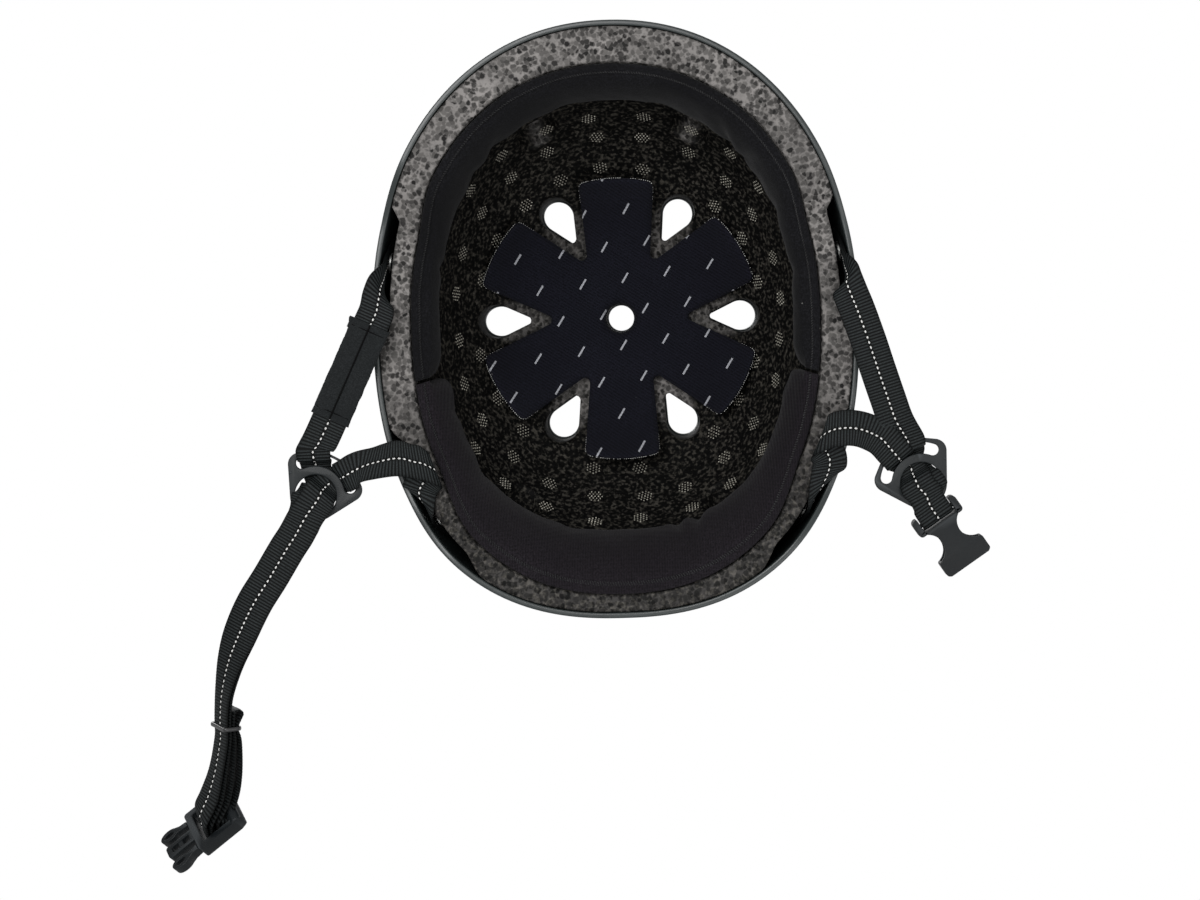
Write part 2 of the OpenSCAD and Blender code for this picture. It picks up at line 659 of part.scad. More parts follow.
module right_front_strap() {
    rows = concat(local_lead(-1), right_front_rows);
    near = concat([flat_row(-25.4, 53.5, sleeve_z, 106, web_w)],
        ring_rows(right_ring, -90.5, slot_up),
        [flat_row(-25.9, 66, over, 84, q), flat_row(-24.9, 70, over, 90, q)],
        ring_rows(right_ring, right_turn, [[3.8, -1.0, over - 0.05, -13, q], [2.2, -0.7, 5.6, -13, q],
            [0.9, -0.3, 3.8, -13, q], [0, -0.05, 2.3, -12, q], [-1, 0.15, 1.45, -11, q],
            [-2.9, 0.5, web_z + 0.05, -8, q], [-5.4, 0.8, web_z, -4, q], [-9, 0.9, web_z, 0, (web_w + q) / 2],
            [-13, 0.7, web_z, 2, web_w], [-15.3, 0.56, web_z, 2.7, web_w]]));
    lifts = [0, 0.5, 1.2, layer];
    fr = frames(concat(rows, lifted(near, lifts)), 3);
    color([0.10, 0.11, 0.11]) sided(-1) intersection() {
        webbing(fr, (layer + web_t) / 2, layer / 2);
        translate([-50, -100, -10]) cube([100, 300, cut_z - cut_gap + 10]);
    }
}

right_rear_rows = [flat_row(17.8, 61.1, web_z, 172, web_w), flat_row(13.6, 59.8, web_z, 177, web_w),
    flat_row(8.9, 59.5, web_z, 183, web_w), flat_row(2.1, 60.7, web_z, 193, web_w),
    flat_row(-4, 62.3, web_z, 196, web_w)];
module right_rear_strap() {
    near = concat(
        ring_rows(right_ring, -32.5, slid(slot_up, [0.4, 0.2, 0.1, 0, 0, 0, 0], [18, 10, 4, 0, 0, 0, 0])),
        ring_rows(right_ring, right_turn, [[9.6, 4.1, over, 32, q], [7.6, 2.7, over, 26, q],
            [6.3, 1.95, over - 0.05, 20, q], [4.9, 1.35, over - 0.9, 15, q], [4, 1.1, 3.7, 13, q],
            [3.1, 0.87, 2.05, 13, q], [1.7, 0.5, web_z + 0.15, 12, q], [-0.8, -0.1, web_z, 9, q],
            [-4.5, -0.5, web_z, 2, q], [-9, -0.2, web_z, -3, (web_w + q) / 2], [-13, 0.4, web_z, 0, web_w],
            [-15.3, 0.56, web_z, 2.7, web_w]]));
    color([0.10, 0.11, 0.11]) sided(-1)
        webbing(frames(concat(right_rear_rows, near), 3), (layer + web_t) / 2, -layer / 2, web_t / 2);
}

// Divider plate, with its slot towards x
module divider_plate() {
    difference() {
        linear_extrude(divider_t) hull() {
            circle(ring_r + ring_edge, $fn = 60);
            for (s = [-1, 1])
                rotate(s * slot_a) translate([slot_r, 0]) circle(divider_corner_r, $fn = 36);
            for (s = [-1, 1])
                rotate(s * slot_a * 0.42) translate([slot_r + 2.6, 0]) circle(2.4, $fn = 24);
        }
        translate([0, 0, -1]) cylinder(h = divider_t + 2, r = ring_r, $fn = 72);
        rotate([0, 0, -slot_a]) rotate_extrude(angle = 2 * slot_a, $fn = 96)
            translate([slot_r - slot_w / 2, -1]) square([slot_w, divider_t + 2]);
        for (s = [-1, 1])
            rotate(s * slot_a) translate([slot_r, 0, -1])
                cylinder(h = divider_t + 2, r = slot_w / 2, $fn = 36);
    }
    for (s = [-1, 1])
        rotate(s * (slot_a + 20)) translate([slot_r - 0.6, 0, 0]) sphere(0.7, $fn = 24);
}

module right_divider() {
    color([0.24, 0.26, 0.27]) sided(-1) translate([right_ring[0], right_ring[1], divider_z])
        rotate(right_turn) divider_plate();
}

module left_divider() {
    color([0.24, 0.26, 0.27]) sided(1) translate([left_ring[0], left_ring[1], divider_z])
        rotate(left_turn) divider_plate();
}

module strap_sleeve() {
    g = sleeve_gap;
    o = sleeve_gap + sleeve_wall;
    color([0.09, 0.10, 0.10]) sided(-1) translate([sleeve_top[0], sleeve_top[1], sleeve_z]) rotate(sleeve_h)
        difference() {
            translate([0, -web_w / 2 - o, -web_t / 2 - o]) cube([sleeve_l, web_w + 2 * o, web_t + 2 * o]);
            translate([-1, -web_w / 2 - g, -web_t / 2 - g])
                cube([sleeve_l + 2, web_w + 2 * g, web_t + 2 * g]);
        }
}

// Chin strap: one run of webbing, down to the plug's bar, back up, over in a loop, down and back
function chin_row(x, y, z, h, roll) =
    [x, y, z, sin(h) * cos(roll), -cos(h) * cos(roll), -sin(roll), web_w, 0];
chin_roll = 58;
chin_top = [chin_row(-34.4, 90.6, web_z, 121.2, 0), chin_row(-36.1, 93.4, web_z, 121.5, 0),
    chin_row(-40, 99.1, web_z, 123, 0), chin_row(-47.4, 111, web_z, 123, 1),
    chin_row(-54.9, 122.3, 1.4, 120, 4), chin_row(-61.6, 135, 3.1, 116, 16),
    chin_row(-67.4, 148.2, 5.8, 109, 38), chin_row(-71, 161.7, 7.4, 99, 54)];
chin_low = [chin_row(-72.2, 172, 7.8, 91, chin_roll), chin_row(-72.5, 184, 7.8, 92, chin_roll),
    chin_row(-75.2, 198, 7.8, 100, 57), chin_row(-78.6, 209, 7.6, 104, 50),
    [-82.3, 216.9, 7.6, 0.47, 0.48, -0.74, web_w, 0], [-82.5, 220.3, 9.6, 0.47, 0.5, -0.73, web_w, 0]];
bar_w = unit([0.47, 0.5, -0.73]);
bar_t = unit(cross(cross(bar_w, [-0.05, 0.82, 0.57]), bar_w));
bar_n = cross(bar_w, bar_t);
inner_r = bar_r + bar_gap + web_t / 2;
outer_r = inner_r + layer;
bar_foot = [-82.6, 223.6, 11.8];
bar_c = bar_foot + bar_n * outer_r;
bar_row = [bar_foot[0], bar_foot[1], bar_foot[2], bar_w[0], bar_w[1], bar_w[2], web_w, 0];
chin_rows = concat(chin_top, chin_low, [bar_row]);
tail_rows = concat(chin_low, [bar_row]);

function tail_lifts(k) = [2 * layer, 2 * layer, 2 * layer, 2 * layer + 0.4, 2 * layer + 1.2,
    2 * layer + 1.9, layer + 2 * inner_r] + [for (i = [0 : 6]) k * layer];

module chin_webbing() {
    down0 = frames(raised(chin_rows, 0), 3);
    down1 = frames(raised(chin_rows, layer), 3);
    tail2 = frames(lifted(tail_rows, tail_lifts(0)), 3);
    tail3 = frames(lifted(tail_rows, tail_lifts(1)), 3);
    f = tail2[0];
    u = unit(cross(f[2], f[3]));
    color([0.10, 0.11, 0.11]) sided(-1) webbing(concat(
        down0,
        turn(bar_c, -bar_n, bar_t, bar_w, web_w / 2, outer_r, 8),
        back(tail3),
        turn(f[0] + u * layer / 2, u, -f[3], f[2], web_w / 2, layer / 2, 5),
        tail2,
        turn(bar_c, bar_n, bar_t, bar_w, web_w / 2, inner_r, 8),
        back(down1)));
}

// Keeper band round the four layers
keep_p = [-72.35, 178, 7.8];
keep_t = unit([-0.025, 1, 0]);
keep_w = [cos(chin_roll), 0, -sin(chin_roll)];
module in_frame(c, ex, ey, ez) {
    multmatrix([for (i = [0 : 2]) [ex[i], ey[i], ez[i], c[i]]]) children();
}

module keeper_band() {
    g = keeper_gap;
    o = keeper_gap + keeper_wall;
    h = web_t + 3 * layer;
    n = cross(keep_w, keep_t);
    color([0.07, 0.07, 0.08]) sided(-1) in_frame(keep_p, keep_t, -keep_w, n) translate([0, 0, -web_t / 2])
        difference() {
            translate([-keeper_w / 2, -web_w / 2 - o, -o]) cube([keeper_w, web_w + 2 * o, h + 2 * o]);
            translate([-keeper_w, -web_w / 2 - g, -g]) cube([2 * keeper_w, web_w + 2 * g, h + 2 * g]);
        }
}

// Plug: x towards its tips, y along its bar
plug_x = unit([-0.84, 0.52, 0] - bar_w * ([-0.84, 0.52, 0] * bar_w));
plug_z = cross(plug_x, bar_w);
module in_plug() {
    sided(-1) in_frame(bar_c, plug_x, bar_w, plug_z) children();
}

inside_w = web_w / 2 + side_gap;
cross_x = outer_r + web_t / 2 + 0.9;
cross_l = 3.4;
end_x = 14;
module plug_frame() {
    y1 = inside_w + rail_w;
    color([0.22, 0.24, 0.25]) in_plug() difference() {
        union() {
            rotate([90, 0, 0]) cylinder(h = 2 * inside_w + 2, r = bar_r, center = true, $fn = 36);
            for (s = [-1, 1])
                translate([-end_x, s > 0 ? inside_w : -y1, -frame_t / 2])
                    cube([cross_x + cross_l + end_x, rail_w, frame_t]);
            translate([-end_x, -y1, -frame_t / 2]) cube([4, 2 * y1, frame_t - 0.6]);
            translate([cross_x, -y1, -frame_t / 2]) cube([cross_l, 2 * y1, frame_t]);
            translate([cross_x + cross_l - 0.5, -2.1, -arm_t / 2]) cube([guide_l, 4.2, arm_t]);
        }
        translate([cross_x + cross_l + 2.5, -0.9, -5]) cube([guide_l, 1.8, 10]);
    }
}

arm_x = cross_x + cross_l + arm_gap;
module latch_arm() {
    translate([arm_x, 6.2, -arm_t / 2]) difference() {
        linear_extrude(arm_t)
            polygon([[0, 0], [4, 0.6], [8, 1.1], [11.2, 0.2], [13.2, 0.2], [14, 1.4], [12.9, 4.4],
                [11.2, 5.2], [9.6, 4.9], [9.3, 3.4], [6, 3.2], [3, 2.6], [0, 2.6]]);
        translate([12, 2.3, -1]) cylinder(h = arm_t + 2, r = 0.9, $fn = 24);
    }
}

module upper_latch_arm() {
    color([0.22, 0.24, 0.25]) in_plug() mirror([0, 1, 0]) latch_arm();
}

module lower_latch_arm() {
    color([0.22, 0.24, 0.25]) in_plug() latch_arm();
}

// Left harness: one run of webbing, through the ring, round the socket's bar and back
left_front_rows = concat(
    [[-4.5, -16.3, 4.6, 0.4, -0.83, -0.36, web_w, 0], [-5.4, -13.6, 2.7, 0.75, -0.6, -0.16, web_w, 0],
        [-4.2, -9, 1.3, 0.9, -0.43, 0, web_w, 0], flat_row(-1.3, -1.3, web_z, 71, web_w)]);
function left_front_run() = concat(local_lead(1), left_front_rows,
    [flat_row(3.2, 12.2, web_z, 73, web_w), flat_row(7.2, 25.4, web_z, 73, web_w),
        flat_row(11.3, 38.5, web_z, 73, web_w), flat_row(14.6, 48.5, web_z, 70, web_w)]);
left_rear_run = [flat_row(-12.5, 51.6, web_z, 4, web_w), flat_row(-7, 51.1, web_z, 2, web_w),
    flat_row(-2, 51.7, web_z, 10, web_w), flat_row(3, 53.5, web_z, 24, web_w),
    flat_row(8, 56.4, web_z, 38, web_w)];
left_drop = [[9, 0, over, 0, q], [6.4, 0, over - 0.05, 0, q], [4.9, 0, over - 0.9, 0, q], [4, 0, 3.7, 0, q],
    [3.1, 0, 2.05, 0, q], [1.7, 0, web_z + 0.15, 0, q], [-0.8, 0, web_z, 0, q], [-5, 0.5, web_z, 3, q]];
socket_h = 56.3;
socket_bar = [31.7, 91.3, web_z + inner_r];

module left_strap() {
    t = [cos(socket_h), sin(socket_h), 0];
    w = [sin(socket_h), -cos(socket_h), 0];
    bar = [for (d = [[-7, 0.5, 15.4], [-4.8, 0.1, web_w], [-3.1, 0, web_w], [-1.3, 0, web_w], [0, 0, web_w]])
        flat_row(socket_bar[0] + t[0] * d[0] + w[0] * d[1], socket_bar[1] + t[1] * d[0] + w[1] * d[1], web_z,
            socket_h, d[2])];
    rear = concat(left_rear_run, ring_rows(left_ring, left_turn,
        slid(slot_up, [-2.4, -2.4, -2.4, -2.2, -2, -1.8, -1.4], [-10, -3, 0, 0, 0, 0, 0])),
        ring_rows(left_ring, left_turn, left_drop), bar);
    front = concat(left_front_run(), lifted(concat(ring_rows(left_ring, left_turn,
        slid(slot_up, [1.6, 1.1, 1, 1, 0.9, 0.8, 0.5], [6, 2, 0, 0, 0, 0, 0])),
        ring_rows(left_ring, left_turn, left_drop), bar), [layer]));
    n = len(front);
    spread = 2 * inner_r;
    rise = [layer, layer, layer + 0.1, spread - 0.6, spread];
    top = frames([for (k = [0 : n - 1]) k < n - 5 ? front[k]
        : [for (i = [0 : 6]) front[k][i], rise[k - n + 5]]], 3);
    low = frames(rear, 3);
    color([0.10, 0.11, 0.11]) sided(1) intersection() {
        webbing(concat(top, turn(socket_bar, [0, 0, 1], t, w, web_w / 2, inner_r, 8), back(low)), web_t / 2);
        translate([-50, -100, -10]) cube([120, 300, cut_z - cut_gap + 10]);
    }
}

module buckle_socket() {
    y0 = inside_w;
    y1 = inside_w + rail_w;
    slot_x = inner_r + web_t / 2 + 0.4;
    zc = -socket_bar[2] + socket_t / 2 + 0.05;
    color([0.18, 0.19, 0.20]) sided(1) translate(socket_bar) rotate(socket_h) {
        rotate([90, 0, 0]) cylinder(h = 2 * y0 + 2, r = bar_r, center = true, $fn = 36);
        translate([0, 0, zc]) difference() {
            union() {
                for (s = [-1, 1])
                    translate([-ear_l, s > 0 ? y0 : -y1, -socket_t / 2])
                        cube([ear_l + slot_x + 1, rail_w, socket_t]);
                translate([slot_x, -y1, -socket_t / 2]) cube([socket_l - slot_x, 2 * y1, socket_t]);
            }
            for (s = [-1, 1])
                translate([slot_x + 7.6, s * (waist + scoop_r), -10]) cylinder(h = 20, r = scoop_r, $fn = 72);
            translate([slot_x + 3.2, -y1 + 1.4, -socket_t / 2 + socket_wall])
                cube([socket_l, 2 * y1 - 2.8, socket_t - 2 * socket_wall]);
        }
    }
}

shell();
liner();
front_pad();
rear_pad();
crown_pad();
hook_dots();
rivets();
washers();
right_front_root();
right_rear_root();
left_front_root();
left_rear_root();
right_front_strap();
right_rear_strap();
right_divider();
strap_sleeve();
chin_webbing();
keeper_band();
plug_frame();
upper_latch_arm();
lower_latch_arm();
left_strap();
left_divider();
buckle_socket();
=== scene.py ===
import math
import bpy
import bmesh
import numpy as np
from mathutils import Matrix, Vector, noise


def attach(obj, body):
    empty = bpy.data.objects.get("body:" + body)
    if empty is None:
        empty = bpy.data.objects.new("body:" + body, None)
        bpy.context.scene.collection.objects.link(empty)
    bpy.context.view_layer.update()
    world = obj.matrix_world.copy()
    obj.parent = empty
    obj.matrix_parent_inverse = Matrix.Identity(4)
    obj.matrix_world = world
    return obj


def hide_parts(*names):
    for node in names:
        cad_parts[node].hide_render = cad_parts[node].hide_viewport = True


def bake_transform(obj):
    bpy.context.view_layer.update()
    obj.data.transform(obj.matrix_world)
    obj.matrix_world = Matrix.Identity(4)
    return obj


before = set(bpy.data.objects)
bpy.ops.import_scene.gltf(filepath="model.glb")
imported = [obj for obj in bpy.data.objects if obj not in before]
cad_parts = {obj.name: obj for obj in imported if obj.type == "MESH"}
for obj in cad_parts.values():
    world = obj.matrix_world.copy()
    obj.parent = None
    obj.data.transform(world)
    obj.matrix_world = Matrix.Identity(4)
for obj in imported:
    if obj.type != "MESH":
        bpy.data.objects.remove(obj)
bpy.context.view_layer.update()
mm = 0.001
rad = math.radians
print("frame loaded")


def addObject(name, data):
    obj = bpy.data.objects.new(name, data)
    bpy.context.scene.collection.objects.link(obj)
    return obj


# camera under the helmet, looking up into the bowl with the brow at the top of the picture
view = {"distance": 0.9, "foot": (0.020, -0.002), "lens": 60.8, "roll": 1.5, "shift": (-0.05, -0.114)}
cameraData = bpy.data.cameras.new("camera")
cameraData.lens = view["lens"]
cameraData.sensor_width = 36
cameraData.shift_x, cameraData.shift_y = view["shift"]
cameraData.clip_start, cameraData.clip_end = 0.05, 10
camera = addObject("camera", cameraData)
roll = rad(view["roll"])
right, up = Vector((math.cos(roll), math.sin(roll), 0)), Vector((math.sin(roll), -math.cos(roll), 0))
turned = Matrix((right, up, right.cross(up))).transposed().to_4x4()
camera.matrix_world = Matrix.Translation((*view["foot"], -view["distance"])) @ turned
bpy.context.scene.camera = camera
bpy.context.scene.view_settings.view_transform = "Standard"


# node helpers
def put(tree, kind, values=None, **settings):
    node = tree.nodes.new("ShaderNode" + kind)
    for key, value in settings.items():
        setattr(node, key, value)
    for key, value in (values or {}).items():
        if isinstance(value, bpy.types.NodeSocket):
            tree.links.new(value, node.inputs[key])
        else:
            node.inputs[key].default_value = value
    return node


def calc(tree, operation, a, b=0.0, c=0.0):
    return put(tree, "Math", {0: a, 1: b, 2: c}, operation=operation).outputs[0]


def blendColor(tree, factor, a, b):
    return put(tree, "Mix", {0: factor, 6: a, 7: b}, data_type="RGBA").outputs[2]


def remap(tree, value, low, high, toLow=0.0, toHigh=1.0):
    return put(tree, "MapRange", {0: value, 1: low, 2: high, 3: toLow, 4: toHigh}).outputs[0]


def newGroup(name, inputs, outputs):
    group = bpy.data.node_groups.new(name, "ShaderNodeTree")
    for label, kind, start in inputs:
        socket = group.interface.new_socket(label, in_out="INPUT", socket_type="NodeSocket" + kind)
        if start is not None:
            socket.default_value = start
    for label, kind in outputs:
        group.interface.new_socket(label, in_out="OUTPUT", socket_type="NodeSocket" + kind)
    return group, group.nodes.new("NodeGroupInput"), group.nodes.new("NodeGroupOutput")


def startMaterial(name, **fixed):
    mat = bpy.data.materials.new(name)
    mat.use_nodes = True
    tree = mat.node_tree
    tree.nodes.clear()
    shader = put(tree, "BsdfPrincipled", fixed)
    out = tree.nodes.new("ShaderNodeOutputMaterial")
    tree.links.new(shader.outputs[0], out.inputs[0])
    place = tree.nodes.new("ShaderNodeTexCoord").outputs["Object"]
    return mat, tree, shader, place


def finishBump(tree, shader, height, strength, distance):
    bump = put(tree, "Bump", {"Strength": strength, "Distance": distance, "Height": height})
    tree.links.new(bump.outputs[0], shader.inputs["Normal"])


# moulded plastic: fine grain, paler worn edges and faint smears
def makeMouldedGroup():
    group, ins, outs = newGroup("mouldedPlastic", [("Place", "Vector", None),
        ("Color", "Color", (0.05, 0.05, 0.05, 1)), ("Worn", "Color", (0.1, 0.1, 0.1, 1)),
        ("Grain", "Float", 2500.0), ("Roughness", "Float", 0.4)],
        [("Color", "Color"), ("Roughness", "Float"), ("Height", "Float")])
    grain = put(group, "TexNoise", {"Vector": ins.outputs["Place"],
        "Scale": ins.outputs["Grain"], "Detail": 3.0})
    smear = put(group, "TexNoise", {"Vector": ins.outputs["Place"], "Scale": 60.0, "Detail": 4.0,
        "Roughness": 0.6})
    edge = put(group, "NewGeometry").outputs["Pointiness"]
    smeared = calc(group, "ADD", edge, calc(group, "MULTIPLY", smear.outputs[0], 0.06))
    worn = remap(group, smeared, 0.555, 0.66)
    color = blendColor(group, calc(group, "MULTIPLY", worn, 0.7), ins.outputs["Color"], ins.outputs["Worn"])
    tone = remap(group, smear.outputs[0], 0.3, 0.7, 0.82, 1.18)
    shaded = put(group, "VectorMath", {0: color, "Scale": tone}, operation="SCALE")
    group.links.new(shaded.outputs[0], outs.inputs["Color"])
    rough = calc(group, "ADD", ins.outputs["Roughness"], remap(group, smear.outputs[0], 0.3,
        0.7, -0.07, 0.07))
    group.links.new(rough, outs.inputs["Roughness"])
    group.links.new(grain.outputs[0], outs.inputs["Height"])
    return group


# cloth: soft blotches, fine fibre speckle and a few pale lint specks
def makeClothGroup():
    group, ins, outs = newGroup("clothFibres", [("Place", "Vector", None),
        ("Color", "Color", (0.02, 0.02, 0.02, 1)), ("Light", "Color", (0.06, 0.06, 0.06, 1)),
        ("Fibre", "Float", 1400.0), ("Lint", "Float", 0.5)], [("Color", "Color"), ("Height", "Float")])
    fibre = put(group, "TexNoise", {"Vector": ins.outputs["Place"],
        "Scale": ins.outputs["Fibre"], "Detail": 2.0})
    blotch = put(group, "TexNoise", {"Vector": ins.outputs["Place"], "Scale": 35.0, "Detail": 3.0})
    speck = put(group, "TexVoronoi", {"Vector": ins.outputs["Place"], "Scale": 130.0})
    fuzz = remap(group, fibre.outputs[0], 0.42, 0.68)
    tone = calc(group, "MULTIPLY", fuzz, remap(group, blotch.outputs[0], 0.35, 0.7, 0.35, 1.0))
    color = blendColor(group, tone, ins.outputs["Color"], ins.outputs["Light"])
    lint = calc(group, "MULTIPLY", calc(group, "LESS_THAN", speck.outputs["Distance"], 0.045),
        calc(group, "GREATER_THAN", put(group, "SeparateXYZ", {0: speck.outputs["Color"]}).outputs[0], 0.86))
    color = blendColor(group, calc(group, "MULTIPLY", lint, ins.outputs["Lint"]), color,
        (0.35, 0.34, 0.32, 1))
    group.links.new(color, outs.inputs["Color"])
    group.links.new(fibre.outputs[0], outs.inputs["Height"])
    return group


mouldedGroup = makeMouldedGroup()
clothGroup = makeClothGroup()


def mouldedMaterial(name, color, worn, roughness, grain, bump, **fixed):
    mat, tree, shader, place = startMaterial(name, **fixed)
    made = put(tree, "Group", {"Place": place, "Color": (*color, 1), "Worn": (*worn, 1), "Grain": grain,
        "Roughness": roughness}, node_tree=mouldedGroup)
    tree.links.new(made.outputs["Color"], shader.inputs["Base Color"])
    tree.links.new(made.outputs["Roughness"], shader.inputs["Roughness"])
    finishBump(tree, shader, made.outputs["Height"], bump, 0.0002)
    return mat


def startCloth(name, color, light, fibre, lint, roughness, sheen, knit=None):
    mat, tree, shader, place = startMaterial(name, **{"Roughness": roughness, "Sheen Weight": sheen,
        "Sheen Roughness": 0.45, "Specular IOR Level": 0.15})
    made = put(tree, "Group", {"Place": place, "Color": (*color, 1), "Light": (*light, 1), "Fibre": fibre,
        "Lint": lint}, node_tree=clothGroup)
    color, height = made.outputs["Color"], made.outputs["Height"]
    if knit:
        turned = put(tree, "Mapping", {"Vector": place, "Rotation": (0, 0, rad(knit["turn"]))}).outputs[0]
        parts = put(tree, "SeparateXYZ", {0: turned}).outputs
        wave = calc(tree, "SINE", calc(tree, "MULTIPLY", parts[0], 2 * math.pi / knit["pitch"]))
        cross = calc(tree, "SINE", calc(tree, "MULTIPLY", parts[1], 2 * math.pi / knit["cross"]))
        line = remap(tree, calc(tree, "ADD", wave, calc(tree, "MULTIPLY", cross, knit["mix"])), -1, 1)
        color = blendColor(tree, calc(tree, "MULTIPLY", line, knit["show"]), color, (*light, 1))
        height = calc(tree, "ADD", calc(tree, "MULTIPLY", height, 0.4), line)
    tree.links.new(color, shader.inputs["Base Color"])
    finishBump(tree, shader, height, 0.6, 0.00025)
    return mat, tree, shader, place, color


def clothMaterial(*values):
    return startCloth(*values)[0]


shellMat = mouldedMaterial("shellPlastic", (0.020, 0.026, 0.026), (0.05, 0.062, 0.062), 0.36, 900.0, 0.05,
    **{"Coat Weight": 0.25, "Coat Roughness": 0.25})
dividerMat = mouldedMaterial("dividerPlastic", (0.0115, 0.0140, 0.0152), (0.05, 0.056, 0.06), 0.42, 3000.0,
    0.3, **{"Specular IOR Level": 0.28})
buckleMat = mouldedMaterial("bucklePlastic", (0.0062, 0.0080, 0.0092), (0.04, 0.045, 0.048), 0.42, 3200.0,
    0.45, **{"Specular IOR Level": 0.22})
elasticMat = mouldedMaterial("keeperElastic", (0.022, 0.022, 0.023), (0.2, 0.19, 0.18), 0.28, 1500.0, 0.1)
steelMat = mouldedMaterial("washerSteel", (0.35, 0.35, 0.34), (0.6, 0.6, 0.58), 0.35, 1800.0, 0.1,
    **{"Metallic": 1.0})
browMat = clothMaterial("browCloth", (0.0028, 0.0028, 0.0034), (0.012, 0.012, 0.0145), 1500.0,
    0.35, 0.95, 0.06)
napeMat = clothMaterial("napeCloth", (0.0045, 0.0036, 0.0048), (0.019, 0.0155, 0.020), 1300.0, 0.6, 0.9, 0.05,
    {"turn": 0, "pitch": 0.00115, "cross": 0.0016, "mix": 0.5, "show": 0.35})
sleeveMat = clothMaterial("sleeveCloth", (0.008, 0.0095, 0.010), (0.022, 0.0245, 0.026), 1700.0, 0.25, 0.85,
    0.06, {"turn": 25, "pitch": 0.0005, "cross": 0.0007, "mix": 0.8, "show": 0.15})
hookMat = clothMaterial("hookTape", (0.006, 0.006, 0.007), (0.05, 0.05, 0.052), 900.0, 0.2, 0.7, 0.1)
# near-black seam and hem thread, also standing in as painted shade in the seam's groove
seamShadeMat = clothMaterial("seamThreadAndShade", (0.0005, 0.0005, 0.0006), (0.003, 0.003, 0.0034),
    3500.0, 0.0, 0.95, 0.0)
threadMat = clothMaterial("blackThread", (0.004, 0.004, 0.005), (0.03, 0.03, 0.034), 3500.0, 0.0, 0.7, 0.2)
paleMat = clothMaterial("tracerThread", (0.62, 0.62, 0.6), (0.9, 0.9, 0.88), 2600.0, 0.0, 0.6, 0.2)


# woven webbing: slate ridges, with black valleys and a dark groove beside the tracer as painted shade
def makeWebbingMaterial():
    mat, tree, shader, place = startMaterial("webbing", **{"Roughness": 0.62, "Specular IOR Level": 0.1})
    paintedRibShade = put(tree, "Attribute", attribute_name="paintedRibShade").outputs["Fac"]
    fibre = put(tree, "TexNoise", {"Vector": place, "Scale": 2200.0, "Detail": 2.0}).outputs[0]
    shade = calc(tree, "MULTIPLY", calc(tree, "POWER", paintedRibShade, 2.8), remap(tree, fibre, 0.35, 0.65, 0.5, 1.25))
    color = blendColor(tree, shade, (0.0006, 0.0007, 0.0007, 1), (0.030, 0.035, 0.036, 1))
    tree.links.new(color, shader.inputs["Base Color"])
    finishBump(tree, shader, fibre, 0.5, 0.0001)
    return mat


webbingMat = makeWebbingMaterial()


# expanded foam: beads with paler borders, light where it is smooth and painted with sheen, nearly black where
# the mould was rough and painted with shade
def makeFoamMaterial():
    mat, tree, shader, place = startMaterial("beadFoam", **{"Roughness": 0.7, "Specular IOR Level": 0.14})
    bent = put(tree, "TexNoise", {"Vector": place, "Scale": 240.0, "Detail": 2.0}).outputs["Color"]
    push = put(tree, "VectorMath", {0: bent, "Scale": 0.0026}, operation="SCALE")
    spot = put(tree, "VectorMath", {0: place, 1: push.outputs[0]}, operation="ADD").outputs[0]
    bead = put(tree, "TexVoronoi", {"Vector": spot, "Scale": 470.0, "Randomness": 1.0})
    own = put(tree, "SeparateXYZ", {0: bead.outputs["Color"]}).outputs[0]
    cloud = put(tree, "TexNoise", {"Vector": place, "Scale": 55.0, "Detail": 4.0}).outputs[0]
    fine = put(tree, "TexNoise", {"Vector": place, "Scale": 900.0, "Detail": 3.0}).outputs[0]
    grain = put(tree, "TexNoise", {"Vector": place, "Scale": 560.0, "Detail": 2.0}).outputs[0]
    outer = calc(tree, "ADD", bead.outputs["Distance"], calc(tree, "MULTIPLY", fine, 0.7))
    border = remap(tree, outer, 0.82, 1.12)
    # sheenAndShade marks painted sheen on the rim and notches and painted glints by the brow vents; where it
    # is low the foam stays dark, partly the rough mould face and partly painted shade
    sheenAndShade = put(tree, "Attribute", attribute_name="foamSheenAndShade").outputs["Fac"]
    beadTone = blendColor(tree, own, (0.010, 0.0098, 0.0095, 1), (0.12, 0.114, 0.109, 1))
    light = blendColor(tree, calc(tree, "MULTIPLY", border, remap(tree, cloud, 0.3, 0.68, 0.35, 1.0)),
        beadTone, (0.27, 0.255, 0.246, 1))
    # the dark bowl foam: near-black with pale grain specks, partly the foam's own grain and partly painted
    # glints
    roughToneAndGlints = blendColor(tree, remap(tree, grain, 0.5, 0.68), (0.0010, 0.0010, 0.0009, 1),
        (0.042, 0.039, 0.033, 1))
    dark = blendColor(tree, calc(tree, "MULTIPLY", border, remap(tree, grain, 0.48, 0.62, 0.0, 0.5)),
        roughToneAndGlints, (0.085, 0.078, 0.066, 1))
    tree.links.new(blendColor(tree, sheenAndShade, dark, light), shader.inputs["Base Color"])
    lump = calc(tree, "SUBTRACT", calc(tree, "MULTIPLY", fine, 0.6),
        calc(tree, "MULTIPLY", bead.outputs["Distance"], 0.9))
    finishBump(tree, shader, lump, 0.7, 0.0006)
    return mat


foamMat = makeFoamMaterial()
# pale colour of the foam's pips, a painted glint on each
pipGlintMat = clothMaterial("foamPipGlints", (0.2, 0.19, 0.16), (0.75, 0.72, 0.63), 1100.0, 0.0, 0.6, 0.0)


# mesh helpers, in millimetres
def makeMesh(name, points, faces, *mats):
    mesh = bpy.data.meshes.new(name)
    mesh.from_pydata((np.asarray(points, float) * mm).tolist(), [], [tuple(f) for f in faces])
    mesh.validate()
    mesh.polygons.foreach_set("use_smooth", [True] * len(mesh.polygons))
    for mat in mats:
        mesh.materials.append(mat)
    mesh.update()
    return addObject(name, mesh)


